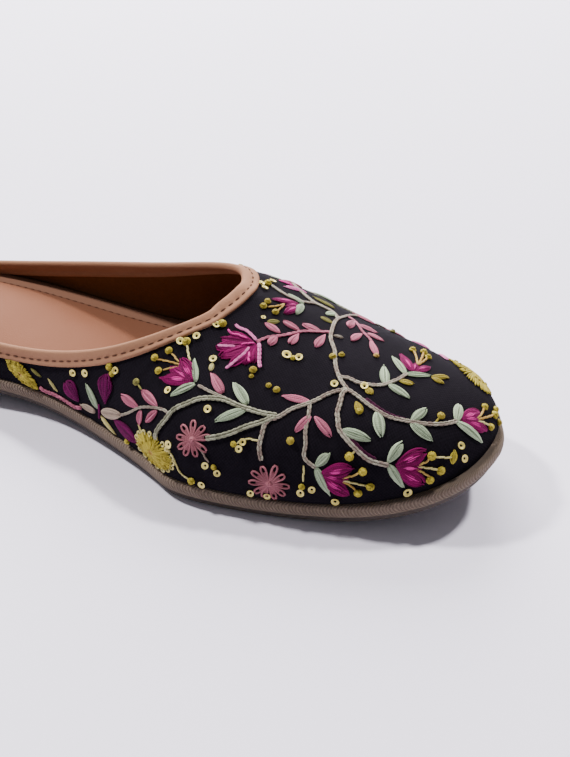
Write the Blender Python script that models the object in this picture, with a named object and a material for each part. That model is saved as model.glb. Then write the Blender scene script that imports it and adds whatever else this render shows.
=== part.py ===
"""Open-back flat mule for the left foot, built from its last: outsole, rand, insole, upper and collar binding.

Metres in the scene, +Z up, +X towards the toe, +Y towards the outer side of the foot. The floor is z = 0.
The tables and sizes below are in millimetres on the last's own axes: X from the back of the heel, Y from the
line between heel and toe, Z from the floor. ORIGIN moves them to the middle of the finished shoe.
"""

import math
from collections import namedtuple

import bmesh
import bpy
import numpy as np

MM = 0.001
ORIGIN = np.array([126.3, -3.35, 0.0])
GAP = 0.3

# The feather line is where the upper meets the rand. It is lowest under the ball and rises to heel and toe.
BALL_HEIGHT = 7.4
HEEL_RISE = 4.5
HEEL_RISE_FROM = 155.0
HEEL_RISE_LENGTH = 106.0
TOE_SPRING = 10.2
TOE_SPRING_FROM = 180.7
TOE_SPRING_LENGTH = 63.3
TOE_SPRING_POWER = 2.5

RAND_HEIGHT = 4.4
RAND_OVERHANG = 1.2
RAND_MORE_AT_INNER_TOE = 2.1
RAND_LESS_AT_OUTER_TOE = 0.5
RAND_TOE_FROM = 205.0
RAND_TOE_LENGTH = 40.0
RAND_OUTER_FROM_Y = -16.0
RAND_OUTER_FADE = 18.0
OUTSOLE_THICKNESS = BALL_HEIGHT - RAND_HEIGHT - GAP
OUTSOLE_INSET = 2.0
HEEL_BREAST_X = 54.0

WALL = 1.8
SKIVED_WALL = 1.0
SKIVE_LENGTH = 7.0
BINDING_THICKNESS = 0.6
BINDING_FLAP = 4.6
BINDING_FLAP_AT_WINGS = 4.3
BINDING_WING_SHARE = 0.24
BINDING_FULL_SHARE = 0.34

INSOLE_EDGE = 1.6
INSOLE_CROWN = 1.8
INSOLE_FOOT_GAP = 3.8
HEEL_SEAT_INSET = 0.8
INSOLE_INSET = WALL + 0.75

MERIDIANS = 84
UPPER_ROWS = 11
SOLE_STATIONS = 44
CHORD_POWER = 0.6
SIDE_BLEND = 3.0

# One row for each section of the upper: its foot on the feather line, its top on the collar, how far the
# section's curve pulls away from each end (a share of its length), the outward lean at its foot and the fall
# below the horizontal at its top, both in degrees.
Section = namedtuple("Section", "name foot_x foot_y top_x top_y top_z foot_pull foot_lean top_pull top_fall")
SECTIONS = (
    Section("inner_wing", 30.5, -22.4, 30.5, -19.4, 18.0, 0.35, 3.0, 0.35, 85.0),
    Section("inner_seat", 60.5, -25.4, 57.0, -19.8, 21.6, 0.35, 5.0, 0.35, 82.0),
    Section("inner_waist", 94.0, -24.2, 86.0, -21.0, 22.0, 0.36, 8.0, 0.35, 76.0),
    Section("inner_arch", 126.3, -33.3, 113.8, -24.6, 28.0, 0.36, 10.0, 0.36, 62.0),
    Section("inner_ball_rear", 150.2, -45.0, 137.5, -24.0, 37.8, 0.39, 10.0, 0.38, 45.0),
    Section("inner_ball", 159.1, -49.5, 150.0, -17.5, 42.8, 0.40, 8.2, 0.42, 34.0),
    Section("inner_toe", 194.0, -48.1, 157.2, -9.4, 45.5, 0.38, 3.6, 0.44, 26.0),
    Section("inner_toe_front", 223.4, -41.7, 158.7, -5.9, 46.5, 0.34, 0.0, 0.43, 24.0),
    Section("toe_inner_corner", 245.7, -25.6, 160.3, -1.8, 47.3, 0.27, -6.2, 0.41, 21.5),
    Section("toe_tip", 247.3, 5.7, 161.4, 3.5, 47.9, 0.22, -11.0, 0.39, 19.0),
    Section("toe_outer_corner", 229.0, 23.4, 160.7, 9.3, 46.9, 0.26, -7.7, 0.39, 18.5),
    Section("outer_toe", 202.4, 35.1, 156.6, 17.6, 46.1, 0.28, -3.4, 0.42, 16.0),
    Section("outer_ball", 171.8, 43.6, 144.4, 25.3, 42.0, 0.32, 4.7, 0.43, 23.0),
    Section("outer_arch", 138.3, 38.1, 122.1, 30.2, 35.2, 0.34, 7.0, 0.40, 47.0),
    Section("outer_waist", 101.8, 37.2, 93.9, 34.2, 28.1, 0.35, 8.0, 0.35, 68.0),
    Section("outer_seat", 59.7, 39.5, 58.9, 35.7, 21.0, 0.36, 6.0, 0.35, 80.0),
    Section("outer_wing", 23.9, 36.8, 24.9, 34.5, 15.9, 0.36, 4.5, 0.35, 86.0),
)
HeelPoint = namedtuple("HeelPoint", "name x y")
HEEL = (
    HeelPoint("heel_outer", 9.8, 28.7),
    HeelPoint("heel_back", 1.0, 7.5),
    HeelPoint("heel_inner", 9.5, -13.5),
)

Finish = namedtuple("Finish", "name colour roughness metallic")
RUBBER = Finish("sole_rubber", (0.10, 0.075, 0.06), 0.7, 0.0)
RAND_CLOTH = Finish("rand_cloth", (0.30, 0.23, 0.18), 0.9, 0.0)
SOCK_LEATHER = Finish("sock_leather", (0.46, 0.24, 0.15), 0.55, 0.0)
UPPER_CLOTH = Finish("upper_cloth", (0.012, 0.012, 0.020), 0.9, 0.0)
BINDING_LEATHER = Finish("binding_leather", (0.50, 0.28, 0.19), 0.5, 0.0)


def unit(vectors):
    """Vectors scaled to length 1."""
    return vectors / np.maximum(np.linalg.norm(vectors, axis=-1, keepdims=True), 1e-9)


def smooth_step(share):
    """0 to 1 with level ends."""
    share = np.clip(share, 0.0, 1.0)
    return share * share * (3.0 - 2.0 * share)


def chord_knots(points):
    """Parameter of each point: the running sum of the chords between points, each to CHORD_POWER."""
    chords = np.linalg.norm(np.diff(points, axis=0), axis=1) ** CHORD_POWER
    return np.concatenate([[0.0], np.cumsum(chords)])


def spline(knots, rows, closed=False):
    """A function of the parameter that gives the cubic spline through the rows and, on request, its slope."""
    count = len(knots)
    step = np.diff(knots)
    rise = np.diff(rows, axis=0) / step[:, None]
    system = np.eye(count)
    right = np.zeros_like(rows)
    for i in range(1, count - 1):
        system[i, i - 1 : i + 2] = step[i - 1], 2.0 * (step[i - 1] + step[i]), step[i]
        right[i] = 6.0 * (rise[i] - rise[i - 1])
    if closed:
        system[0, -1] = -1.0
        system[-1] = 0.0
        system[-1, [0, 1, -2]] = 2.0 * (step[0] + step[-1]), step[0], step[-1]
        right[-1] = 6.0 * (rise[0] - rise[-1])
    bend = np.linalg.solve(system, right)

    def at(values, slope=False):
        k = np.clip(np.searchsorted(knots, values, side="right") - 1, 0, count - 2)
        h = step[k][:, None]
        a = (knots[k + 1] - values)[:, None] / h
        b = 1.0 - a
        if slope:
            return rise[k] + h / 6.0 * ((3.0 * b * b - 1.0) * bend[k + 1] - (3.0 * a * a - 1.0) * bend[k])
        curve = (a**3 - a) * bend[k] + (b**3 - b) * bend[k + 1]
        return a * rows[k] + b * rows[k + 1] + h * h / 6.0 * curve

    return at


def feather_height(x):
    """Height of the feather line above the floor: level under the ball, raised at heel and toe."""
    heel = HEEL_RISE * smooth_step((HEEL_RISE_FROM - x) / HEEL_RISE_LENGTH)
    toe = np.maximum((x - TOE_SPRING_FROM) / TOE_SPRING_LENGTH, 0.0)
    return BALL_HEIGHT + heel + TOE_SPRING * toe**TOE_SPRING_POWER


FEET = np.array([(row.foot_x, row.foot_y) for row in SECTIONS])
ROUND = np.vstack([FEET, [(row.x, row.y) for row in HEEL], FEET[:1]])
ROUND_KNOTS = chord_knots(ROUND)
UPPER_KNOTS = ROUND_KNOTS[: len(SECTIONS)]
outline = spline(ROUND_KNOTS, ROUND, closed=True)
section_values = spline(UPPER_KNOTS, np.array([row[3:] for row in SECTIONS]))


def outline_frame(values):
    """Points of the feather line in plan, and the level directions that point out of the shoe there."""
    slope = outline(values, slope=True)
    return outline(values), unit(np.stack([slope[:, 1], -slope[:, 0]], axis=1))


def upper_surface(values, shares):
    """Outer face of the upper: for each section parameter a cubic curve from feather line to collar.

    The curve leaves the feather line nearly upright and meets the collar on its fall line, so the sections
    round the toe share one smooth crest.
    """
    plan, out = outline_frame(values)
    top_x, top_y, top_z, foot_pull, foot_lean, top_pull, top_fall = section_values(values).T
    foot = np.column_stack([plan, feather_height(plan[:, 0]) + GAP])
    top = np.column_stack([top_x, top_y, top_z])
    length = np.linalg.norm(top - foot, axis=1)[:, None]
    lean = np.radians(foot_lean)[:, None]
    fall = np.radians(top_fall)[:, None]
    up = np.array([0.0, 0.0, 1.0])
    out_foot = np.column_stack([out, np.zeros(len(out))])
    out_top = np.column_stack([unit(plan - top[:, :2] + SIDE_BLEND * out), np.zeros(len(out))])
    pull_foot = foot + foot_pull[:, None] * length * (out_foot * np.sin(lean) + up * np.cos(lean))
    pull_top = top + top_pull[:, None] * length * (out_top * np.cos(fall) - up * np.sin(fall))
    s = shares[None, :, None]
    near_foot = (1 - s) ** 3 * foot[:, None] + 3 * (1 - s) ** 2 * s * pull_foot[:, None]
    return near_foot + 3 * (1 - s) * s**2 * pull_top[:, None] + s**3 * top[:, None]


def surface_normals(grid):
    """Unit normals of a grid of points, outwards where rows run heel to toe on the inner side."""
    return unit(np.cross(np.gradient(grid, axis=0), np.gradient(grid, axis=1)))


def from_collar(grid, distances):
    """Points of each section curve at the given lengths below the collar; distances has a row per section."""
    found = []
    for curve, wanted in zip(grid, distances):
        back = curve[::-1]
        run = np.concatenate([[0.0], np.cumsum(np.linalg.norm(np.diff(back, axis=0), axis=1))])
        found.append([[np.interp(d, run, back[:, axis]) for axis in range(3)] for d in wanted])
    return np.array(found)


def collar_height(values):
    """Length of each section curve, which limits how far the binding reaches down."""
    fine = upper_surface(values, np.linspace(0.0, 1.0, 25))
    return np.linalg.norm(np.diff(fine, axis=1), axis=2).sum(axis=1)


def offset_outline(offset, count=721):
    """The feather line moved outwards in plan by a distance that is a function of x and y."""
    plan, out = outline_frame(np.linspace(0.0, ROUND_KNOTS[-1], count)[:-1])
    return plan + out * offset(plan[:, 0], plan[:, 1])[:, None]


def edge_pair(offset, shares):
    """Stations x along an offset outline at shares of its length, with its inner and outer y there."""
    loop = offset_outline(offset)
    heel, toe = loop[:, 0].argmin(), loop[:, 0].argmax()
    x = loop[heel, 0] + (loop[toe, 0] - loop[heel, 0]) * shares
    loop = np.roll(loop, -heel, axis=0)
    toe = (toe - heel) % len(loop)
    inner = loop[: toe + 1]
    outer = np.vstack([loop[toe:], loop[:1]])[::-1]
    y_inner = np.interp(x, inner[:, 0], inner[:, 1])
    y_outer = np.interp(x, outer[:, 0], outer[:, 1])
    y_outer[[0, -1]] = y_inner[[0, -1]]
    return x, y_inner, y_outer


def rand_overhang(x, y):
    """How far the rand stands outside the feather line: more at the inner toe, less at the outer toe."""
    toe = np.clip((x - RAND_TOE_FROM) / RAND_TOE_LENGTH, 0.0, 1.0)
    outer = smooth_step((y - RAND_OUTER_FROM_Y) / RAND_OUTER_FADE)
    more = RAND_MORE_AT_INNER_TOE * (1.0 - outer) - RAND_LESS_AT_OUTER_TOE * outer
    return RAND_OVERHANG + toe * more


def insole_inset(x):
    """Inset of the insole: inside the upper's wall, but nearly full width behind the wings."""
    return HEEL_SEAT_INSET + (INSOLE_INSET - HEEL_SEAT_INSET) * smooth_step((x - 10.0) / 11.0)


def station_shares():
    """Shares of the sole's length, closer together at both ends."""
    return 0.5 - 0.5 * np.cos(np.pi * np.linspace(0.0, 1.0, SOLE_STATIONS + 1))


def ring(offset, height, shares):
    """Loop of points round the sole: inner edge heel to toe, then outer edge back. height is of x and share."""
    x, y_inner, y_outer = edge_pair(offset, shares)
    z = height(x, shares)
    inner = np.column_stack([x, y_inner, z])
    outer = np.column_stack([x, y_outer, z])
    return np.vstack([inner, outer[-2:0:-1]])


def add_points(bm, points):
    """New vertices at points given in millimetres on the last's axes."""
    return [bm.verts.new((point - ORIGIN) * MM) for point in points]


def bridge(bm, first, second, closed):
    """Quads between two equally long rows of vertices."""
    count = len(first)
    for i in range(count if closed else count - 1):
        j = (i + 1) % count
        bm.faces.new((first[i], first[j], second[j], second[i]))


def cap_ring(bm, loop, raise_by=None):
    """Closes a sole ring with strips across the sole, through raised middle points where asked."""
    last = len(loop) // 2
    inner = loop[: last + 1]
    outer = [loop[0]] + loop[:last:-1] + [loop[last]]
    columns = [inner]
    for share, lift in raise_by or ():
        middle = [inner[0]]
        for i in range(1, last):
            point = inner[i].co.lerp(outer[i].co, share)
            point.z += lift * min(1.0, 0.25 + 0.15 * min(i, last - i)) * MM
            middle.append(bm.verts.new(point))
        columns.append(middle + [inner[last]])
    columns.append(outer)
    for first, second in zip(columns, columns[1:]):
        for i in range(last):
            corners = list(dict.fromkeys((first[i], first[i + 1], second[i + 1], second[i])))
            bm.faces.new(corners)


def finish_object(bm, name, finish):
    """Turns the bmesh into a scene object with outward normals, smooth shading and its own material."""
    bmesh.ops.recalc_face_normals(bm, faces=bm.faces)
    bmesh.ops.triangulate(bm, faces=bm.faces)
    mesh = bpy.data.meshes.new(name)
    bm.to_mesh(mesh)
    bm.free()
    mesh.shade_smooth()
    mesh.set_sharp_from_angle(angle=math.radians(40.0))
    material = bpy.data.materials.new(finish.name)
    material.use_nodes = True
    shader = material.node_tree.nodes["Principled BSDF"]
    shader.inputs["Base Color"].default_value = (*finish.colour, 1.0)
    shader.inputs["Roughness"].default_value = finish.roughness
    shader.inputs["Metallic"].default_value = finish.metallic
    mesh.materials.append(material)
    made = bpy.data.objects.new(name, mesh)
    bpy.context.scene.collection.objects.link(made)
    return made


def sole_solid(name, finish, rings, raise_by=None):
    """Solid through a stack of sole rings, bottom to top, with a cap at each end of the stack."""
    bm = bmesh.new()
    loops = [add_points(bm, points) for points in rings]
    for lower, upper in zip(loops, loops[1:]):
        bridge(bm, lower, upper, closed=True)
    cap_ring(bm, loops[0])
    cap_ring(bm, loops[-1], raise_by)
    return finish_object(bm, name, finish)


def make_outsole():
    """Thin outsole with arch and toe spring, whose heel block reaches the floor behind the breast."""
    shares = station_shares()
    breast = np.searchsorted(shares, HEEL_BREAST_X / ROUND[:, 0].max())
    shares[breast] = shares[breast - 1] + 0.004

    def curve(x, below):
        return feather_height(x) - RAND_HEIGHT - GAP - below

    def bottom(x, s):
        return np.where(s < shares[breast] - 0.001, 0.0, curve(x, OUTSOLE_THICKNESS))

    def edge(x, y):
        return rand_overhang(x, y) - OUTSOLE_INSET

    rings = (
        ring(lambda x, y: edge(x, y) - 0.7, bottom, shares),
        ring(edge, lambda x, s: curve(x, 0.5 * OUTSOLE_THICKNESS), shares),
        ring(edge, lambda x, s: curve(x, 0.0), shares),
    )
    return sole_solid("outsole", RUBBER, rings)


def make_rand():
    """Cloth-covered midsole whose rounded edge shows all round the shoe."""
    shares = station_shares()
    profile = (  # (inside the full overhang, below the feather line), bottom to top
        (0.9, RAND_HEIGHT),
        (0.1, 0.8 * RAND_HEIGHT),
        (0.0, 0.5 * RAND_HEIGHT),
        (0.4, 0.15 * RAND_HEIGHT),
        (1.2, 0.0),
    )
    rings = [
        ring(lambda x, y, i=inset: rand_overhang(x, y) - i, lambda x, s, d=drop: feather_height(x) - d, shares)
        for inset, drop in profile
    ]
    return sole_solid("midsole_rand", RAND_CLOTH, rings)


def make_insole():
    """Padded sock: a thin sloping edge inside the upper and a crowned middle."""
    shares = station_shares()
    profile = ((0.0, 0.0), (0.0, 0.6 * INSOLE_EDGE), (1.0, INSOLE_EDGE))  # (more inset, above its underside)
    rings = [
        ring(
            lambda x, y, i=inset: -insole_inset(x) - i, lambda x, s, h=high: feather_height(x) + GAP + h, shares
        )
        for inset, high in profile
    ]
    crown = [(share, INSOLE_CROWN * math.sin(math.pi * share) ** 0.5) for share in (0.1, 0.28, 0.5, 0.72, 0.9)]
    return sole_solid("insole", SOCK_LEATHER, rings, crown)


def upper_faces():
    """Outer and inner grids of the upper's wall, which is pared down to its skived edge at the collar."""
    values = np.linspace(0.0, UPPER_KNOTS[-1], MERIDIANS)
    outer = upper_surface(values, np.linspace(0.0, 1.0, UPPER_ROWS))
    steps = np.linalg.norm(np.diff(outer, axis=1), axis=2)
    below = np.concatenate([np.cumsum(steps[:, ::-1], axis=1)[:, ::-1], np.zeros((MERIDIANS, 1))], axis=1)
    wall = SKIVED_WALL + (WALL - SKIVED_WALL) * smooth_step(below / SKIVE_LENGTH)
    inner = outer - surface_normals(outer) * wall[..., None]
    inner[:, 0, 2] = outer[:, 0, 2]
    return values, outer, inner


def make_upper():
    """Hollow upper: outer and inner face, joined at the feather line, the collar and both wing ends."""
    _, outer, inner = upper_faces()
    bm = bmesh.new()
    outside = [add_points(bm, row) for row in outer]
    inside = [add_points(bm, row) for row in inner]
    for grid in (outside, inside):
        for first, second in zip(grid, grid[1:]):
            bridge(bm, first, second, closed=False)
    for end in (0, -1):
        bridge(bm, [row[end] for row in outside], [row[end] for row in inside], closed=False)
        bridge(bm, outside[end], inside[end], closed=False)
    return finish_object(bm, "upper", UPPER_CLOTH)


def binding_flap(values):
    """Width of the binding's outer flap, which narrows towards both wing ends."""
    share = values / UPPER_KNOTS[-1]
    from_end = np.minimum(share, 1.0 - share)
    full = smooth_step((from_end - BINDING_WING_SHARE) / (BINDING_FULL_SHARE - BINDING_WING_SHARE))
    return BINDING_FLAP_AT_WINGS + (BINDING_FLAP - BINDING_FLAP_AT_WINGS) * full


def make_binding():
    """Leather strip folded over the collar: an outer flap, a rounded top and an inner flap."""
    values, outer, inner = upper_faces()
    normal = surface_normals(outer)[:, -1]
    climb = unit(outer[:, -1] - outer[:, -2])
    height = collar_height(values)
    outer_flap = np.minimum(binding_flap(values), 0.75 * height)
    inner_flap = np.minimum(BINDING_FLAP, height - INSOLE_FOOT_GAP)
    shares = np.array([1.0, 0.5, 0.0])
    outer_run = from_collar(outer, outer_flap[:, None] * shares)
    inner_run = from_collar(inner, inner_flap[:, None] * shares)[:, ::-1]
    crest = 0.5 * (outer[:, -1] + inner[:, -1])[:, None]
    paths = []
    for away, corner_rise in ((GAP + BINDING_THICKNESS, 0.5), (GAP, 1.0)):
        side = away * normal[:, None]
        rise = away * climb[:, None]
        outer_side = outer_run + side
        inner_side = inner_run - side
        outer_side[:, -1:] += corner_rise * rise
        inner_side[:, :1] += corner_rise * rise
        paths.append(np.concatenate([outer_side, crest + rise, inner_side], axis=1))
    bm = bmesh.new()
    outside = [add_points(bm, row) for row in paths[0]]
    inside = [add_points(bm, row) for row in paths[1]]
    sections = [first + second[::-1] for first, second in zip(outside, inside)]
    for first, second in zip(sections, sections[1:]):
        bridge(bm, first, second, closed=True)
    for end in (0, -1):
        bridge(bm, outside[end], inside[end], closed=False)
    return finish_object(bm, "collar_binding", BINDING_LEATHER)


def main():
    """Clears the scene and builds the five pieces under one empty."""
    for old in list(bpy.data.objects):
        bpy.data.objects.remove(old, do_unlink=True)
    shoe = bpy.data.objects.new("mule", None)
    bpy.context.scene.collection.objects.link(shoe)
    for piece in (make_outsole(), make_rand(), make_insole(), make_upper(), make_binding()):
        piece.parent = shoe


main()
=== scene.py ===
"""Looks of a left embroidered mule: cloth vamp, leather collar and sock, ribbed rand, stitched flowers."""

import logging
import math
from collections.abc import Callable
from dataclasses import dataclass, field
from enum import Enum
from typing import Any, NamedTuple

import bmesh
import bpy
import numpy as np
from bpy.types import Material, Mesh, Node, NodeSocket, Object
from mathutils import Matrix, Vector


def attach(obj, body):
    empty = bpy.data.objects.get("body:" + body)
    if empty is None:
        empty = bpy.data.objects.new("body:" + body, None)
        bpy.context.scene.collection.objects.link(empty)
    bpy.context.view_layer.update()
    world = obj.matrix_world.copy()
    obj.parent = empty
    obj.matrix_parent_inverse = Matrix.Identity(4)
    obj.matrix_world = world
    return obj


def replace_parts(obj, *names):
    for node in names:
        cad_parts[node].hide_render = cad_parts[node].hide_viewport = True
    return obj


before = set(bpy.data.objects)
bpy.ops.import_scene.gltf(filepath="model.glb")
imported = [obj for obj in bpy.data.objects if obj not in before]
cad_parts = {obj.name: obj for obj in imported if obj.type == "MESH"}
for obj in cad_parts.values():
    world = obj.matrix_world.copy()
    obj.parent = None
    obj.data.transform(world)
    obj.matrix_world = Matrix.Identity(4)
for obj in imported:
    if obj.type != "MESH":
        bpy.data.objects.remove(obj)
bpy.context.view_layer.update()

LOG = logging.getLogger("mule")
Array = np.ndarray
Triple = tuple[float, float, float]
Measure = Callable[[Array, Array | float], Array]

MM = 0.001
ORIGIN = np.array([126.3, -3.35, 0.0])
UP = np.array([0.0, 0.0, 1.0])
FULL_TURN = 2.0 * math.pi
MERGE_METRES = 2e-6


# ---------------------------------------------------------------- shader tools


@dataclass(frozen=True)
class Signal:
    """A shader value for Python expressions; each operator adds its Math node."""

    shader: "Shader"
    socket: NodeSocket

    def __add__(self, other: "Signal | float") -> "Signal":
        """Sum."""
        return self.shader.math("ADD", self, other)

    __radd__ = __add__

    def __mul__(self, other: "Signal | float") -> "Signal":
        """Product."""
        return self.shader.math("MULTIPLY", self, other)

    __rmul__ = __mul__

    def __sub__(self, other: "Signal | float") -> "Signal":
        """Difference."""
        return self.shader.math("SUBTRACT", self, other)

    def __rsub__(self, other: float) -> "Signal":
        """Reflected difference."""
        return self.shader.math("SUBTRACT", other, self)

    def __abs__(self) -> "Signal":
        """Absolute value."""
        return self.shader.math("ABSOLUTE", self)

    def sin(self) -> "Signal":
        """Sine of an angle in radians."""
        return self.shader.math("SINE", self)

    def clamp(self) -> "Signal":
        """The value held between 0 and 1."""
        return self.shader.math("ADD", self, 0.0, use_clamp=True)

    def ramp(self, low: float, high: float) -> "Signal":
        """Smooth step from 0 at low to 1 at high."""
        settings = {"interpolation_type": "SMOOTHSTEP"}
        return self.shader.signal(self.shader.node("MapRange", settings, self, low, high))


class Shader:
    """One material under construction."""

    def __init__(self, name: str) -> None:
        """Starts a material with its Principled shader.

        Args:
            name: The material's name.
        """
        self.material = bpy.data.materials.new(name)
        self.material.use_nodes = True
        self.tree = self.material.node_tree
        self.surface = self.tree.nodes["Principled BSDF"]

    def node(self, kind: str, settings: dict | None = None, *inputs: Any, **values: Any) -> Node:
        """Adds any node.

        Args:
            kind: The node's type, without its ShaderNode prefix.
            settings: Node settings, set before the sockets.
            inputs: Socket values or links in the order of the sockets.
            values: The same by socket name, with _ for a space.

        Returns:
            The new node.
        """
        made = self.tree.nodes.new("ShaderNode" + kind)
        for key, value in (settings or {}).items():
            setattr(made, key, value)
        for slot, value in zip(made.inputs, inputs):
            self.feed(slot, value)
        for key, value in values.items():
            self.feed(made.inputs[key.replace("_", " ")], value)
        return made

    def feed(self, slot: NodeSocket, value: Any) -> None:
        """Links an input, or sets a constant on it.

        Args:
            slot: The input socket.
            value: A signal, an output socket, a colour or a number.
        """
        if isinstance(value, Signal):
            value = value.socket
        if isinstance(value, NodeSocket):
            self.tree.links.new(value, slot)
        elif slot.type == "RGBA":
            slot.default_value = (*value, 1.0)
        else:
            slot.default_value = value

    def signal(self, node: Node, output: str | int = 0) -> Signal:
        """One output of a node as a signal."""
        return Signal(self, node.outputs[output])

    def math(self, operation: str, *terms: Signal | float, **settings: bool) -> Signal:
        """Result of one Math node on the terms, in their order."""
        return self.signal(self.node("Math", {"operation": operation, **settings}, *terms))

    def place(self) -> NodeSocket:
        """Object coordinates, in metres."""
        return self.node("TexCoord").outputs["Object"]

    def axes(self, vector: NodeSocket) -> tuple[Signal, Signal, Signal]:
        """The three numbers of a vector."""
        split = self.node("SeparateXYZ", Vector=vector)
        return self.signal(split, 0), self.signal(split, 1), self.signal(split, 2)

    def pattern(self, layer: str) -> tuple[Signal, Signal]:
        """The two lengths in millimetres that a piece's UV map carries."""
        return self.axes(self.node("UVMap", {"uv_map": layer}).outputs[0])[:2]

    def shade(self) -> Signal:
        """The shade from 0 to 1 that each stitch or disc carries."""
        return self.signal(self.node("Attribute", {"attribute_name": "shade"}), "Fac")

    def noise(self, vector: NodeSocket, scale: float, detail: float) -> Signal:
        """Noise from 0 to 1 at a scale in cells a metre."""
        return self.signal(self.node("TexNoise", Vector=vector, Scale=scale, Detail=detail))

    def cells(self, vector: NodeSocket, scale: float) -> Signal:
        """Distance to the middle of the nearest cell, at a scale in cells a metre."""
        return self.signal(self.node("TexVoronoi", {"feature": "F1"}, Vector=vector, Scale=scale))

    def blend(self, amount: Signal | float, low: Any, high: Any) -> NodeSocket:
        """Mix of two colours.

        Args:
            amount: 0 for low, 1 for high.
            low: A colour or a colour socket.
            high: Another one.

        Returns:
            The mixed colour's socket.
        """
        mix = self.node("Mix", {"data_type": "RGBA"})
        for slot, value in ((0, amount), (6, low), (7, high)):
            self.feed(mix.inputs[slot], value)
        return mix.outputs[2]

    def relief(self, height: Signal, distance: float, strength: float) -> None:
        """Feeds a height from 0 to 1 into Normal through a Bump node, with its depth in metres."""
        bump = self.node("Bump", Strength=strength, Distance=distance, Height=height)
        self.feed(self.surface.inputs["Normal"], bump.outputs[0])

    def dress(self, amount: Signal, low: Any, high: Any, **values: Any) -> Material:
        """Sets or links the Principled shader's sockets.

        Args:
            amount: How far the surface's colour goes from low to high.
            low: A colour or a colour socket.
            high: Another one.
            values: Other socket values by name, with _ for a space.

        Returns:
            The finished material.
        """
        for key, value in {"Base_Color": self.blend(amount, low, high), **values}.items():
            self.feed(self.surface.inputs[key.replace("_", " ")], value)
        return self.material


# ---------------------------------------------------------------- finishes


@dataclass(frozen=True)
class Rubber:
    """Dark brown moulded rubber of the outsole."""

    dark: Triple = (0.040, 0.028, 0.022)
    light: Triple = (0.060, 0.042, 0.033)

    def material(self) -> Material:
        """Matte rubber with a fine pebbled relief.

        Returns:
            The material.
        """
        sh = Shader("sole_rubber_look")
        grain = sh.noise(sh.place(), 1500.0, 3.0)
        sh.relief(grain, 0.00025, 0.5)
        return sh.dress(grain.ramp(0.3, 0.7), self.dark, self.light, Roughness=0.75)


@dataclass(frozen=True)
class RibbedCloth:
    """Taupe cord cloth wrapped round the rand, with its ribs on the slant."""

    light: Triple = (0.195, 0.140, 0.098)
    dark: Triple = (0.092, 0.062, 0.043)
    ribs_per_mm: float = 0.95
    threads_per_mm: float = 2.4
    slant: float = 0.55

    def material(self) -> Material:
        """Ribs run across the rand at a slant, from the piece's own lengths along and round the edge.

        Returns:
            The material.
        """
        sh = Shader("rand_cloth_look")
        along, around = sh.pattern("cloth")
        place = sh.place()
        wander = sh.noise(place, 260.0, 2.0)
        phase = (along + around * self.slant + wander * 0.5) * (FULL_TURN * self.ribs_per_mm)
        rib = phase.sin() * 0.5 + 0.5
        threads = (around * (FULL_TURN * self.threads_per_mm)).sin() * 0.5 + 0.5
        soil = sh.noise(place, 55.0, 3.0)
        tone = (rib * 0.65 + soil * 0.6 - 0.1).clamp()
        sh.relief(rib * 0.75 + threads * rib * 0.25, 0.00035, 0.8)
        return sh.dress(tone, self.dark, self.light, Roughness=0.9)


@dataclass(frozen=True)
class Leather:
    """Smooth leather with a fine grain and a little mottling."""

    name: str
    light: Triple
    dark: Triple
    roughness: float
    grain: float
    depth: float = 0.00012
    specular: float = 0.03

    def material(self) -> Material:
        """Grain of small cells, a soft mottle and fine creases.

        Returns:
            The material.
        """
        sh = Shader(self.name)
        place = sh.place()
        cells = sh.cells(place, self.grain)
        mottle = sh.noise(place, 70.0, 4.0)
        fine = sh.noise(place, 3.0 * self.grain, 2.0)
        tone = (mottle * 0.9 + cells * 0.25 - 0.1).clamp()
        sh.relief(cells * 0.7 + fine * 0.3, self.depth, 0.6)
        rough = mottle * 0.12 + (self.roughness - 0.06)
        return sh.dress(tone, self.dark, self.light, Roughness=rough, Specular_IOR_Level=self.specular)


@dataclass(frozen=True)
class SockLeather:
    """Tan leather of the sock with a paler border strip outside the stitched groove."""

    groove: float
    middle: Triple = (0.185, 0.075, 0.042)
    border: Triple = (0.215, 0.105, 0.066)
    worn: Triple = (0.26, 0.13, 0.09)
    # Dark brown painted into the stitched groove as shade.
    groove_shade: Triple = (0.05, 0.02, 0.012)
    grain: float = 1500.0

    def material(self) -> Material:
        """Colour from the inset, which the UV map carries, with grain, soft mottle and painted shade that
        darkens the stitched groove.

        Returns:
            The material.
        """
        sh = Shader("sock_leather_look")
        _, inset = sh.pattern("sock")
        place = sh.place()
        cells = sh.cells(place, self.grain)
        mottle = sh.noise(place, 60.0, 4.0)
        base = sh.blend(inset.ramp(self.groove - 0.3, self.groove + 0.2), self.border, self.middle)
        rubbed = sh.blend((mottle * 1.2 - 0.35).clamp(), base, sh.blend(0.25, base, self.worn))
        # Painted shade: the colour goes half way to the dark brown at the stitched groove.
        groove_shade_mask = 1.0 - abs(inset - self.groove).ramp(0.0, 0.45)
        sh.relief(cells * 0.7 + mottle * 0.5, 0.00012, 0.5)
        rough = mottle * 0.1 + 0.6
        return sh.dress(groove_shade_mask * 0.5, rubbed, self.groove_shade, Roughness=rough, Specular_IOR_Level=0.03)


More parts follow.
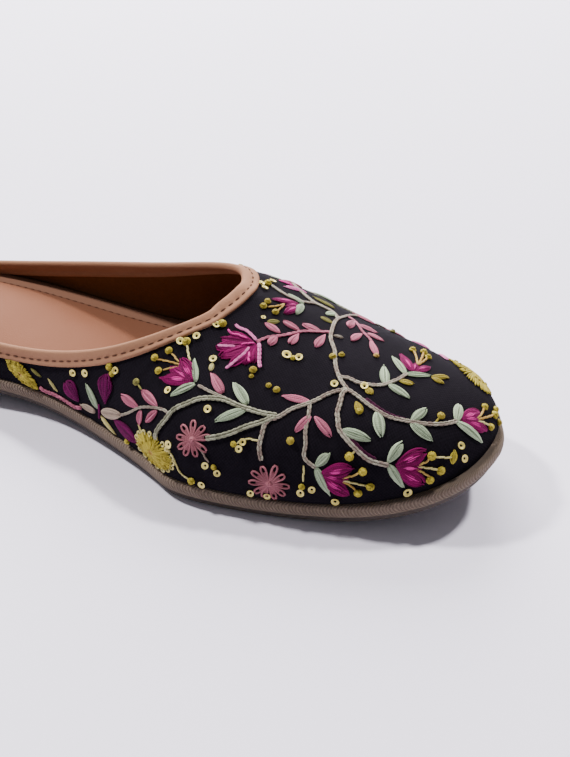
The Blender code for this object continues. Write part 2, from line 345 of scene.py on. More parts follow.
@dataclass(frozen=True)
class BlackCotton:
    """Black close-woven cotton of the vamp."""

    warp: Triple = (0.0036, 0.0028, 0.0042)
    crossing: Triple = (0.0130, 0.0104, 0.0150)
    threads_per_m: float = 1900.0

    def material(self) -> Material:
        """Plain weave read in three directions and joined by the way that the cloth faces.

        Returns:
            The material.
        """
        sh = Shader("vamp_cotton_look")
        place = sh.place()
        x, y, z = sh.axes(place)
        face_x, _, face_z = sh.axes(sh.node("TexCoord").outputs["Normal"])
        turn = 0.5 * FULL_TURN * self.threads_per_m

        def weave(a: Signal, b: Signal) -> Signal:
            """Over and under of two sets of threads: the product of two sines, lifted to 0 and 1."""
            return (a * turn).sin() * (b * turn).sin() * 0.5 + 0.5

        share_x = ((abs(face_x) - 0.6) * 4.0).clamp()
        share_z = ((abs(face_z) - 0.55) * 4.0).clamp()
        side = weave(x, z)
        topped = side + (weave(x, y) - side) * share_z
        woven = topped + (weave(y, z) - topped) * share_x
        lint = sh.noise(place, 900.0, 3.0)
        patch = sh.noise(place, 45.0, 3.0)
        sh.relief(woven * 0.8 + lint * 0.4, 0.00012, 0.7)
        tone = (woven * 0.45 + lint * 0.5 + patch * 0.5 - 0.35).clamp()
        return sh.dress(tone, self.warp, self.crossing, Roughness=0.9, Specular_IOR_Level=0.03)


@dataclass(frozen=True)
class Thread:
    """Twisted cotton thread; every stitch has its own shade, carried on the mesh."""

    name: str
    light: Triple
    dark: Triple
    roughness: float = 0.55
    specular: float = 0.06
    twists_per_mm: float = 1.6
    plies: float = 3.0

    def material(self) -> Material:
        """Shade from the stitch, ply lines wound round it, and fuzz in between.

        Returns:
            The material.
        """
        sh = Shader(self.name)
        along, around = sh.pattern("thread")
        ply = ((along * self.twists_per_mm + around * self.plies) * FULL_TURN).sin() * 0.5 + 0.5
        fuzz = sh.noise(sh.place(), 1800.0, 2.0)
        sh.relief(ply * 0.8 + fuzz * 0.7, 0.00014, 0.8)
        tone = (sh.shade() * 0.75 + ply * 0.25 + fuzz * 0.5 - 0.24).clamp()
        finish = {"Roughness": self.roughness, "Specular_IOR_Level": self.specular}
        return sh.dress(tone, self.dark, self.light, **finish)


@dataclass(frozen=True)
class Foil:
    """Pale gold sequin foil, each disc a little different."""

    light: Triple = (0.88, 0.76, 0.24)
    dark: Triple = (0.50, 0.38, 0.07)

    def material(self) -> Material:
        """Film whose tint follows the disc and a soft swirl.

        Returns:
            The material.
        """
        sh = Shader("sequin_foil_look")
        swirl = sh.noise(sh.place(), 700.0, 2.0)
        tone = (sh.shade() * 0.7 + swirl * 0.5 - 0.05).clamp()
        return sh.dress(tone, self.dark, self.light, Roughness=0.35, Metallic=0.1, Specular_IOR_Level=0.3)


@dataclass(frozen=True)
class PaleFloor:
    """Seamless pale board under the shoe."""

    colour: Triple = (0.84, 0.80, 0.92)
    cloud: float = 0.985

    def material(self) -> Material:
        """Almost even tone with a faint cloudiness.

        Returns:
            The material.
        """
        sh = Shader("studio_floor_look")
        cloud = sh.noise(sh.place(), 9.0, 2.0)
        return sh.dress(cloud, tuple(self.cloud * c for c in self.colour), self.colour, Roughness=0.9)


LINING = Leather("lining_look", (0.15, 0.068, 0.026), (0.095, 0.042, 0.017), 0.8, 900.0)
BINDING = Leather("binding_leather_look", (0.31, 0.158, 0.095), (0.25, 0.124, 0.072), 0.7, 1300.0)
SOCK_THREAD = Thread("stitch_brown_look", (0.12, 0.048, 0.030), (0.07, 0.028, 0.018), 0.6)
COLLAR_THREAD = Thread("collar_thread_look", (0.115, 0.050, 0.030), (0.06, 0.026, 0.016), 0.6)


class Hue(Enum):
    """Cottons of the needlework, by colour."""

    SAGE = Thread("sage_thread_look", (0.50, 0.61, 0.40), (0.11, 0.14, 0.09))
    STEM = Thread("stem_thread_look", (0.40, 0.38, 0.29), (0.16, 0.095, 0.085))
    PINK = Thread("pink_thread_look", (0.60, 0.18, 0.27), (0.20, 0.055, 0.080))
    MAGENTA = Thread("magenta_thread_look", (0.26, 0.003, 0.10), (0.075, 0.0010, 0.030))
    # Bright pink for real stitches, and also for the painted highlight of sheen over the magenta petals.
    BRIGHT = Thread("bright_pink_thread_look", (0.78, 0.07, 0.36), (0.50, 0.020, 0.20))
    PALE = Thread("pale_pink_thread_look", (0.82, 0.26, 0.52), (0.52, 0.10, 0.28))
    YELLOW = Thread("yellow_thread_look", (0.56, 0.45, 0.060), (0.17, 0.13, 0.012))
    OCHRE = Thread("ochre_thread_look", (0.38, 0.30, 0.050), (0.19, 0.14, 0.014))
    MOSS = Thread("moss_thread_look", (0.26, 0.24, 0.070), (0.12, 0.11, 0.030))
    ORANGE = Thread("orange_thread_look", (0.56, 0.38, 0.11), (0.34, 0.19, 0.045))
    CREAM = Thread("cream_thread_look", (0.76, 0.68, 0.30), (0.44, 0.37, 0.12))
    BLUSH = Thread("blush_thread_look", (0.44, 0.34, 0.26), (0.22, 0.16, 0.12))
    WILLOW = Thread("willow_thread_look", (0.38, 0.38, 0.27), (0.12, 0.115, 0.075))
    # Magenta with painted shade: a darker copy of the magenta cotton, for some petals and a stem of the
    # inner side and their mirror images.
    WINE = Thread("wine_thread_look", (0.15, 0.002, 0.075), (0.055, 0.0008, 0.030))
    ROSE = Thread("rose_thread_look", (0.46, 0.165, 0.19), (0.20, 0.065, 0.080))
    PLUM = Thread("plum_thread_look", (0.075, 0.010, 0.042), (0.030, 0.004, 0.016))


# ---------------------------------------------------------------- the last


# Percent: holds places off the edges of the upper, so that rates of change are read on both sides.
INSIDE = (0.1, 99.9)


def unit(vectors: Array) -> Array:
    """Vectors divided by their lengths."""
    return vectors / np.maximum(np.linalg.norm(vectors, axis=-1, keepdims=True), 1e-9)


def smooth_step(t: Array) -> Array:
    """Cubic from 0 to 1 that is level at both ends: 3 t squared minus 2 t cubed."""
    t = np.clip(t, 0.0, 1.0)
    return t * t * (3.0 - 2.0 * t)


def pair(first: Array, second: Array | float) -> Array:
    """Two arrays made the same shape and joined by a new last axis."""
    return np.stack(np.broadcast_arrays(first, second), axis=-1)


def angles_round(count: int) -> Array:
    """Angles at even steps round a full turn, starting at 0."""
    return FULL_TURN * np.arange(count) / count


def run(points: Array, axis: int) -> Array:
    """Length walked through a grid of points.

    Args:
        points: Rows by columns by three.
        axis: 0 to walk down the columns, 1 to walk along the rows.

    Returns:
        One length for each point, starting at 0.
    """
    steps = np.linalg.norm(np.diff(points, axis=axis), axis=-1)
    first = np.zeros_like(np.take(steps, [0], axis=axis))
    return np.concatenate([first, np.cumsum(steps, axis=axis)], axis=axis)


class Spline:
    """Cubic spline through rows of values, with even curvature at each knot."""

    def __init__(self, rows: Array, closed: bool, knots: Array | None = None) -> None:
        """Solves the spline's curvatures.

        Args:
            rows: One row of values per knot; a closed spline repeats the first row at its end.
            closed: Whether the curve joins up with itself.
            knots: The knots, or None for distances between the rows to the power 0.6, summed.
        """
        if knots is None:
            steps = np.linalg.norm(np.diff(rows, axis=0), axis=1) ** 0.6
            knots = np.concatenate([[0.0], np.cumsum(steps)])
        self.knots, self.rows = knots, rows
        gaps = np.diff(knots)
        slopes = np.diff(rows, axis=0) / gaps[:, None]
        count = len(knots)
        system, target = np.eye(count), np.zeros(rows.shape)
        for i in range(1, count - 1):
            system[i, i - 1 : i + 2] = gaps[i - 1], 2.0 * (gaps[i - 1] + gaps[i]), gaps[i]
            target[i] = 6.0 * (slopes[i] - slopes[i - 1])
        if closed:
            system[0, [1, 0]] = gaps[0], 2.0 * (gaps[0] + gaps[-1])
            system[0, -2] = gaps[-1]
            target[0] = 6.0 * (slopes[0] - slopes[-1])
            system[-1, 0], system[-1, -1] = 1.0, -1.0
        self.bends = np.linalg.solve(system, target)

    def __call__(self, values: Array, slope: bool = False) -> Array:
        """Values or slopes at any parameters.

        Args:
            values: Flat array of parameters.
            slope: Whether the first derivative is wanted.

        Returns:
            One row per parameter.
        """
        i = np.clip(np.searchsorted(self.knots, values, side="right") - 1, 0, len(self.knots) - 2)
        gap = (self.knots[i + 1] - self.knots[i])[:, None]
        a = (self.knots[i + 1] - values)[:, None] / gap
        b = 1.0 - a
        low, high = self.rows[i], self.rows[i + 1]
        bend_low, bend_high = self.bends[i], self.bends[i + 1]
        if slope:
            curved = ((3.0 * b * b - 1.0) * bend_high - (3.0 * a * a - 1.0) * bend_low) * gap / 6.0
            return (high - low) / gap + curved
        return a * low + b * high + ((a**3 - a) * bend_low + (b**3 - b) * bend_high) * gap * gap / 6.0


class Section(NamedTuple):
    """Foot and top of one cut through the upper, with the pulls and angles that bend the curve between."""

    name: str
    foot_x: float
    foot_y: float
    top_x: float
    top_y: float
    top_z: float
    foot_pull: float
    foot_lean: float
    top_pull: float
    top_fall: float


SECTIONS = (
    Section("inner_wing", 30.5, -22.4, 30.5, -19.4, 18.0, 0.35, 3.0, 0.35, 85.0),
    Section("inner_seat", 60.5, -25.4, 57.0, -19.8, 21.6, 0.35, 5.0, 0.35, 82.0),
    Section("inner_waist", 94.0, -24.2, 86.0, -21.0, 22.0, 0.36, 8.0, 0.35, 76.0),
    Section("inner_arch", 126.3, -33.3, 113.8, -24.6, 28.0, 0.36, 10.0, 0.36, 62.0),
    Section("inner_ball_rear", 150.2, -45.0, 137.5, -24.0, 37.8, 0.39, 10.0, 0.38, 45.0),
    Section("inner_ball", 159.1, -49.5, 150.0, -17.5, 42.8, 0.40, 8.2, 0.42, 34.0),
    Section("inner_toe", 194.0, -48.1, 157.2, -9.4, 45.5, 0.38, 3.6, 0.44, 26.0),
    Section("inner_toe_front", 223.4, -41.7, 158.7, -5.9, 46.5, 0.34, 0.0, 0.43, 24.0),
    Section("toe_inner_corner", 245.7, -25.6, 160.3, -1.8, 47.3, 0.27, -6.2, 0.41, 21.5),
    Section("toe_tip", 247.3, 5.7, 161.4, 3.5, 47.9, 0.22, -11.0, 0.39, 19.0),
    Section("toe_outer_corner", 229.0, 23.4, 160.7, 9.3, 46.9, 0.26, -7.7, 0.39, 18.5),
    Section("outer_toe", 202.4, 35.1, 156.6, 17.6, 46.1, 0.28, -3.4, 0.42, 16.0),
    Section("outer_ball", 171.8, 43.6, 144.4, 25.3, 42.0, 0.32, 4.7, 0.43, 23.0),
    Section("outer_arch", 138.3, 38.1, 122.1, 30.2, 35.2, 0.34, 7.0, 0.40, 47.0),
    Section("outer_waist", 101.8, 37.2, 93.9, 34.2, 28.1, 0.35, 8.0, 0.35, 68.0),
    Section("outer_seat", 59.7, 39.5, 58.9, 35.7, 21.0, 0.36, 6.0, 0.35, 80.0),
    Section("outer_wing", 23.9, 36.8, 24.9, 34.5, 15.9, 0.36, 4.5, 0.35, 86.0),
)
HEEL = ((9.8, 28.7), (1.0, 7.5), (9.5, -13.5))


@dataclass
class Last:
    """Form that every cover follows. Lengths are millimetres on axes whose x starts at the heel."""

    gap: float = 0.3
    ball_height: float = 7.4
    heel_rise: float = 4.5
    heel_curve: tuple[float, float] = (155.0, 106.0)
    toe_spring: float = 10.2
    toe_curve: tuple[float, float] = (180.7, 63.3)
    rand_overhang: float = 1.2
    more_at_inner_toe: float = 2.1
    less_at_outer_toe: float = 0.5
    overhang_in_y: tuple[float, float] = (-16.0, 18.0)
    overhang_in_x: tuple[float, float] = (205.0, 40.0)
    side_blend: float = 3.0
    wall: float = 1.8
    skived_wall: float = 1.0
    skive_length: float = 7.0
    outline_steps: int = 1440
    outline: Spline = field(init=False)
    sections: Spline = field(init=False)

    def __post_init__(self) -> None:
        """Runs one closed spline through the feet and the heel, and an open one through the tops."""
        feet = np.array([(row.foot_x, row.foot_y) for row in SECTIONS])
        self.outline = Spline(np.vstack([feet, HEEL, feet[:1]]), closed=True)
        tops = np.array([row[3:] for row in SECTIONS])
        self.sections = Spline(tops, closed=False, knots=self.outline.knots[: len(SECTIONS)])

    def feather_height(self, x: Array) -> Array:
        """Height of the seam between upper and rand.

        It is level at the ball, rises by a smooth step to the heel, and by the 2.5th power to the toe.

        Args:
            x: Distances from the heel.

        Returns:
            Heights above the floor.
        """
        heel = self.heel_rise * smooth_step((self.heel_curve[0] - x) / self.heel_curve[1])
        toe = self.toe_spring * np.maximum((x - self.toe_curve[0]) / self.toe_curve[1], 0.0) ** 2.5
        return self.ball_height + heel + toe

    def overhang(self, x: Array, y: Array) -> Array:
        """How far the rand stands outside the feather line: more at the inner toe, less at the outer toe.

        Args:
            x: Distances from the heel.
            y: Distances from the middle line, outwards.

        Returns:
            The overhangs.
        """
        outer = smooth_step((y - self.overhang_in_y[0]) / self.overhang_in_y[1])
        more = self.more_at_inner_toe * (1.0 - outer) - self.less_at_outer_toe * outer
        near_toe = np.clip((x - self.overhang_in_x[0]) / self.overhang_in_x[1], 0.0, 1.0)
        return self.rand_overhang + more * near_toe

    def thickness(self, below: Array) -> Array:
        """Thickness of the upper's wall at lengths below the collar, pared by a smooth step towards it."""
        return self.skived_wall + (self.wall - self.skived_wall) * smooth_step(below / self.skive_length)

    def frame(self, values: Array) -> tuple[Array, Array]:
        """Plan points of the feather line and the level directions that point out of the shoe.

        Args:
            values: Flat array of outline parameters.

        Returns:
            Points and outward directions, two columns each.
        """
        slope = self.outline(values, slope=True)
        return self.outline(values), unit(pair(slope[:, 1], -slope[:, 0]))

    def feather_line(self) -> tuple[Array, Array]:
        """Points and outward directions at even parameters once round the shoe, the first one repeated."""
        return self.frame(np.linspace(0.0, self.outline.knots[-1], self.outline_steps + 1))

    def upper(self, place: Array) -> Array:
        """Points on the outer face of the upper.

        Each is on a cubic Bezier curve from the feather line to the collar: its second point stands over the
        foot, leaning out; its third lies down the fall line from the collar.

        Args:
            place: Round share and climb on a last axis of two: percent of the way round from the inner wing
                over the toe to the outer wing, and of the way up from feather line to collar.

        Returns:
            Points, with a last axis of three.
        """
        values = place[..., 0].ravel() * 0.01 * self.sections.knots[-1]
        s = place[..., 1].ravel()[:, None] * 0.01
        plan, out = self.frame(values)
        top_x, top_y, top_z, foot_pull, foot_lean, top_pull, top_fall = self.sections(values).T
        foot = np.column_stack([plan, self.feather_height(plan[:, 0]) + self.gap])
        top = np.column_stack([top_x, top_y, top_z])
        length = np.linalg.norm(top - foot, axis=1)[:, None]
        lean, fall = np.radians(foot_lean)[:, None], np.radians(top_fall)[:, None]
        level = np.zeros((len(out), 1))
        out_foot = np.hstack([out, level])
        out_top = np.hstack([unit(plan - top[:, :2] + self.side_blend * out), level])
        near_foot = foot + foot_pull[:, None] * length * (out_foot * np.sin(lean) + UP * np.cos(lean))
        near_top = top + top_pull[:, None] * length * (out_top * np.cos(fall) - UP * np.sin(fall))
        r = 1.0 - s
        points = r**3 * foot + 3.0 * r * r * s * near_foot + 3.0 * r * s * s * near_top + s**3 * top
        return points.reshape(*place.shape[:-1], 3)

    def tangents(self, place: Array) -> tuple[Array, Array, Array]:
        """Rates of change of the surface, by central differences.

        Args:
            place: Round share and climb.

        Returns:
            The rate round the shoe, the rate up it, and the unit normal.
        """
        step = 0.05
        around, up = (
            (self.upper(place + way) - self.upper(place - way)) / (2 * step) for way in step * np.eye(2)
        )
        return around, up, unit(np.cross(around, up))

    def settle(self, near: Array, targets: Array) -> Array:
        """Places on the surface closest to given points, by seven Newton steps in the plane of the tangents.

        Args:
            near: Round share and climb to start from.
            targets: The points.

        Returns:
            Round share and climb of each foot point.
        """
        longest, lowest, highest = np.array([2.5, 15.0]), (0.2, 0.5), (99.8, 99.0)
        place = near.astype(float)
        for _ in range(7):
            around, up, _ = self.tangents(place)
            miss = targets - self.upper(place)
            aa, ab, bb = ((p * q).sum(-1) for p, q in ((around, around), (around, up), (up, up)))
            p, q = (miss * around).sum(-1), (miss * up).sum(-1)
            step = np.stack([bb * p - ab * q, aa * q - ab * p], axis=-1) / (aa * bb - ab * ab)[..., None]
            place = np.clip(place + np.clip(step, -longest, longest), lowest, highest)
        return place

    def below_collar(self, round_share: Array, distance: Array) -> Array:
        """Places at given lengths below the collar, found by stepping down the surface in equal parts.

        Args:
            round_share: Percent of the way round.
            distance: Lengths below the collar.

        Returns:
            Round share and climb of each place.
        """
        parts = 8
        place = pair(round_share, np.full(distance.shape, 100.0))
        for _ in range(parts):
            place[..., 1] -= distance / parts / np.linalg.norm(self.tangents(place)[1], axis=-1)
        return place

    def ring(self, offset: Measure, height: Callable[[Array], Array], shares: Array) -> Array:
        """Loop of points round the sole with matching inner and outer stations.

        The feather line is moved outwards in plan by the offset, then read at even places along its length.

        Args:
            offset: Distance outside the feather line as a function of x and y.
            height: Height above the floor as a function of x.
            shares: Stations as shares of the length from heel to toe.

        Returns:
            Points along the inner edge from heel to toe, then back along the outer edge.
        """
        plan, out = (part[:-1] for part in self.feather_line())
        line = plan + out * offset(plan[:, 0], plan[:, 1])[:, None]
        line = np.roll(line, -line[:, 0].argmin(), axis=0)
        toe = line[:, 0].argmax()
        x = line[0, 0] + (line[toe, 0] - line[0, 0]) * shares
        inner = line[: toe + 1]
        outer = np.vstack([line[toe:], line[:1]])[::-1]
        y_inner = np.interp(x, inner[:, 0], inner[:, 1])
        y_outer = np.interp(x, outer[:, 0], outer[:, 1])
        y_outer[[0, -1]] = y_inner[[0, -1]]
        z = height(x)
        near, far = np.column_stack([x, y_inner, z]), np.column_stack([x, y_outer, z])
        return np.vstack([near, far[-2:0:-1]])

    def rings(self, profile: Array, offset: Measure, height: Measure, stations: int) -> list[Array]:
        """Rings of a profile that is carried round the sole; its stations crowd towards heel and toe.

        Args:
            profile: One row for each ring: how far it lies inside the offset, and its level.
            offset: Distance outside the feather line as a function of x and y.
            height: Height above the floor as a function of x and a ring's level.
            stations: Steps from heel to toe.

        Returns:
            The rings, each with the same stations.
        """
        shares = 0.5 - 0.5 * np.cos(np.pi * np.linspace(0.0, 1.0, stations + 1))
        return [
            self.ring(lambda x, y, i=inset: offset(x, y) - i, lambda x, v=level: height(x, v), shares)
            for inset, level in profile
        ]


# ---------------------------------------------------------------- mesh tools


class Patch(NamedTuple):
    """Grid of points in millimetres on the last's axes, and a pair of pattern lengths at each."""

    points: Array
    pattern: Array

    @classmethod
    def of(cls, points: Array, pattern: Array | None = None, wrap: bool = False) -> "Patch":
        """A patch from its points.

        Args:
            points: Rows by columns by three.
            pattern: Rows by columns by two, or None for the lengths along the columns and the rows.
            wrap: Whether the last row is joined to the first.

        Returns:
            The patch, with its first row repeated at the end if it wraps.
        """
        if wrap:
            points = np.concatenate([points, points[:1]])
        if pattern is None:
            pattern = pair(run(points, 0), run(points, 1))
        elif wrap:
            pattern = np.concatenate([pattern, pattern[:1]])
        return cls(points, pattern)


def quads(rows: int, columns: int) -> Array:
    """Cells of a grid of points.

    Args:
        rows: Points one way.
        columns: Points the other way, which are numbered first.

    Returns:
        Four corner numbers for each cell.
    """
    i, j = np.meshgrid(np.arange(rows - 1), np.arange(columns - 1), indexing="ij")
    start = (i * columns + j).ravel()
    return np.stack([start, start + 1, start + columns + 1, start + columns], axis=1)


def raw_mesh(name: str, points: Array, faces: Array, pattern: Array, layer: str) -> Mesh:
    """Mesh from whole arrays.

    Args:
        name: The mesh's name.
        points: Points in metres, one row each.
        faces: Four corner numbers a row.
        pattern: Two pattern lengths for each point, in millimetres.
        layer: Name of the UV map that holds them.

    Returns:
        The mesh, shaded smooth.
    """
    mesh = bpy.data.meshes.new(name)
    mesh.vertices.add(len(points))
    mesh.vertices.foreach_set("co", points.astype(np.float32).ravel())
    mesh.loops.add(faces.size)
    mesh.loops.foreach_set("vertex_index", faces.astype(np.int32).ravel())
    mesh.polygons.add(len(faces))
    mesh.polygons.foreach_set("loop_start", np.arange(0, faces.size, 4, dtype=np.int32))
    mesh.update(calc_edges=True)
    uv = mesh.uv_layers.new(name=layer)
    uv.uv.foreach_set("vector", pattern[faces.ravel()].astype(np.float32).ravel())
    mesh.shade_smooth()
    return mesh


def show(mesh: Mesh, material: Material) -> Object:
    """Puts a mesh in the scene as a piece that rides on the shoe.

    Args:
        mesh: The piece's mesh, which also gives its name.
        material: Its look.

    Returns:
        The piece.
    """
    mesh.materials.append(material)
    piece = bpy.data.objects.new(mesh.name, mesh)
    bpy.context.scene.collection.objects.link(piece)
    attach(piece, "root")
    LOG.info("%s: %d faces", piece.name, len(mesh.polygons))
    return piece


def solid(name: str, patches: list[Patch], layer: str = "cloth", sharp: float = 50.0) -> Mesh:
    """One closed mesh from patches whose borders meet.

    Args:
        name: The mesh's name.
        patches: The patches.
        layer: Name of the UV map for the pattern lengths.
        sharp: Edges bent more than this many degrees stay sharp.

    Returns:
        The mesh, with doubles merged and faces turned outwards.
    """
    sizes = [patch.points.shape[:2] for patch in patches]
    starts = np.cumsum([0] + [a * b for a, b in sizes])
    points = np.concatenate([patch.points.reshape(-1, 3) for patch in patches])
    pattern = np.concatenate([patch.pattern.reshape(-1, 2) for patch in patches])
    faces = np.concatenate([quads(a, b) + start for (a, b), start in zip(sizes, starts)])
    mesh = raw_mesh(name, (points - ORIGIN) * MM, faces, pattern, layer)
    bm = bmesh.new()
    bm.from_mesh(mesh)
    bmesh.ops.remove_doubles(bm, verts=bm.verts, dist=MERGE_METRES)
    bmesh.ops.recalc_face_normals(bm, faces=bm.faces)
    bm.to_mesh(mesh)
    bm.free()
    mesh.shade_smooth()
    mesh.set_sharp_from_angle(angle=math.radians(sharp))
    return mesh


def shell(outside: Array, inside: Array) -> list[Patch]:
    """Patches of a sheet with a thickness: its two faces and the four strips between their edges.

    Args:
        outside: Grid of points.
        inside: Grid of the same size.

    Returns:
        The patches.
    """
    strips = [np.stack([outside[k], inside[k]]) for k in (0, -1)]
    strips += [np.stack([outside[:, k], inside[:, k]]) for k in (0, -1)]
    return [Patch.of(grid) for grid in (outside, inside, *strips)]


def across(ring: Array, columns: Array, lift: Array | None = None) -> Array:
    """Sheet that fills a sole ring with straight rows from its inner to its outer edge.

    Args:
        ring: Ring points as Last.ring gives them.
        columns: Shares of the width, from 0 to 1.
        lift: Height added at each share, eased out towards both ends of the ring, or None.

    Returns:
        Grid of stations by columns.
    """
    last = len(ring) // 2
    inner = ring[: last + 1]
    outer = np.vstack([ring[:1], ring[:last:-1], ring[last : last + 1]])
    sheet = inner[:, None] * (1.0 - columns[:, None]) + outer[:, None] * columns[:, None]
    if lift is not None:
        width = np.linalg.norm(outer - inner, axis=1)
        sheet[..., 2] += lift * smooth_step(width / width.max() / 0.9)[:, None]
    return sheet


def swept(rings: list[Array]) -> list[Patch]:
    """Patches of a block carried round the sole: its edge, and fills in its first and last rings."""
    fills = [across(ring, np.linspace(0.0, 1.0, 9)) for ring in (rings[0], rings[-1])]
    return [Patch.of(np.stack(rings, axis=1), wrap=True), *(Patch.of(fill) for fill in fills)]


def copies_mesh(name: str, points: Array, faces: Array, pattern: Array, shade: Array) -> Mesh:
    """Mesh of many shapes that share one layout, each with its own shade.

    Args:
        name: The mesh's name.
        points: Shapes by rows by columns by three, in millimetres.
        faces: Four corner numbers for each face of one shape.
        pattern: Two pattern lengths for each point: shapes by rows by columns by two.
        shade: One number from 0 to 1 for each shape.

    Returns:
        The mesh, with a UV map "thread" and a point attribute "shade".
    """
    size = points.shape[1] * points.shape[2]
    every = (faces + np.arange(len(points))[:, None, None] * size).reshape(-1, 4)
    mesh = raw_mesh(name, (points.reshape(-1, 3) - ORIGIN) * MM, every, pattern.reshape(-1, 2), "thread")
    tone = mesh.attributes.new("shade", "FLOAT", "POINT")
    tone.data.foreach_set("value", np.repeat(shade, size).astype(np.float32))
    return mesh


def tube_mesh(name: str, points: Array, shade: Array) -> Mesh:
    """Mesh of many threads: tubes of six sides, capped at both ends by two faces each.

    Args:
        name: The mesh's name.
        points: Tubes by stations by six corners by three, in millimetres.
        shade: One number from 0 to 1 for each tube.

    Returns:
        The mesh, with the lengths along and the shares round each tube as its pattern.
    """
    stations, sides = points.shape[1:3]
    ring = np.arange(sides)
    cell = np.stack([np.roll(ring, -1), np.roll(ring, -1) + sides, ring + sides, ring], axis=1)
    wall = (cell + np.arange(stations - 1)[:, None, None] * sides).reshape(-1, 4)
    first = np.array([[3, 2, 1, 0], [5, 4, 3, 0]])
    last = first[:, ::-1] + (stations - 1) * sides
    pattern = pair(run(points[:, :, 0], 1)[:, :, None], ring / sides)
    return copies_mesh(name, points, np.concatenate([wall, first, last]), pattern, shade)


# ---------------------------------------------------------------- sub-assemblies


@dataclass(frozen=True)
class RunningStitch:
    """Short raised stitches at an even pitch: low half-round bars that dip in at both ends. Millimetres."""

    pitch: float
    share: float
    width: float
    start: float = 0.0
    height: float = 0.3

    def bars(self, name: str, path: Array, normals: Array) -> Mesh:
        """All stitches along a path.

        Along a stitch the height is the square root of a parabola; across it a half circle.

        Args:
            name: The mesh's name.
            path: Points along the seam.
            normals: Directions in which the stitches stand up, one at each point.

        Returns:
            One mesh of all stitches.
        """
        length = run(path[None], 1)[0]
        starts = np.arange(self.start, length[-1] - self.pitch, self.pitch)

        def at(distance: Array, rows: Array) -> Array:
            """Rows read at distances along the path."""
            return np.stack([np.interp(distance, length, rows[:, k]) for k in range(3)], axis=1)

        first, second = at(starts, path), at(starts + self.share * self.pitch, path)
        normal = unit(at(starts, normals))
        t = np.linspace(0.0, 1.0, 7)
        turn = angles_round(6)
        belly = np.sqrt(np.clip(4.0 * t * (1.0 - t), 0.02, 1.0))
        line = first[:, None] * (1.0 - t[:, None]) + second[:, None] * t[:, None]
        side = unit(np.cross(normal, second - first))
        centre = line + normal[:, None] * ((belly - 1.0) * 0.5 * self.height + 0.3 * self.height)[:, None]
        spread = side[:, None, None] * (0.5 * self.width * np.cos(turn))[:, None]
        rise = normal[:, None, None] * (0.7 * self.height * np.sin(turn))[:, None]
        points = centre[:, :, None] + belly[None, :, None, None] * (spread + rise)
        return tube_mesh(name, points, np.full(len(starts), 0.5))


@dataclass
class Sole:
    """Outsole with its low heel, and the cloth-covered rand. Millimetres."""

    last: Last
    rand_height: float = 4.4
    rand_tuck: float = 1.3
    tuck_power: float = 1.3
    outsole_thickness: float = 2.7
    outsole_inset: float = 2.0
    outsole_profile: tuple = ((1.1, 0.0), (0.5, 0.1), (0.0, 0.25), (0.0, 0.9), (0.3, 1.0))
    heel_breast: float = 54.0
    breast_length: float = 0.8
    stations: int = 240

    def rand(self) -> Object:
        """Rand: a rounded edge swept round the sole, closed above and below.

        Going down, the edge's inset is a power of one minus the cosine of an angle that turns by half a
        circle, and its height falls with the sine, so it tucks under the upper.

        Returns:
            The piece.
        """
        turn = np.linspace(-0.5 * np.pi, 0.5 * np.pi, 13)
        inset = self.rand_tuck * (1.0 - np.cos(turn)) ** self.tuck_power
        drop = self.rand_height * (0.5 - 0.5 * np.sin(turn))
        profile = np.column_stack([inset, drop])
        last = self.last

        def height(x: Array, down: float) -> Array:
            """Height at a length below the feather line."""
            return last.feather_height(x) - down

        rings = last.rings(profile, last.overhang, height, self.stations)
        return show(solid("rand_cover", swept(rings)), RibbedCloth().material())

    def outsole(self) -> Object:
        """Thin outsole that follows the arch and the toe spring, with a low heel down to the floor.

        Returns:
            The piece.
        """
        last = self.last

        def edge(x: Array, y: Array) -> Array:
            """Outline, inside the rand's."""
            return last.overhang(x, y) - self.outsole_inset

        def height(x: Array, share: float) -> Array:
            """Height between the tread and the rand; the tread of the heel is the floor.

            Args:
                x: Distances from the heel.
                share: How much of the way up from the tread.

            Returns:
                Heights above the floor.
            """
            top = last.feather_height(x) - (self.rand_height + last.gap)
            past_heel = smooth_step((x - self.heel_breast) / self.breast_length)
            tread = (top - self.outsole_thickness) * past_heel
            return tread + share * (top - tread)

        rings = last.rings(np.array(self.outsole_profile), edge, height, self.stations)
        return show(solid("outsole_moulding", swept(rings)), Rubber().material())


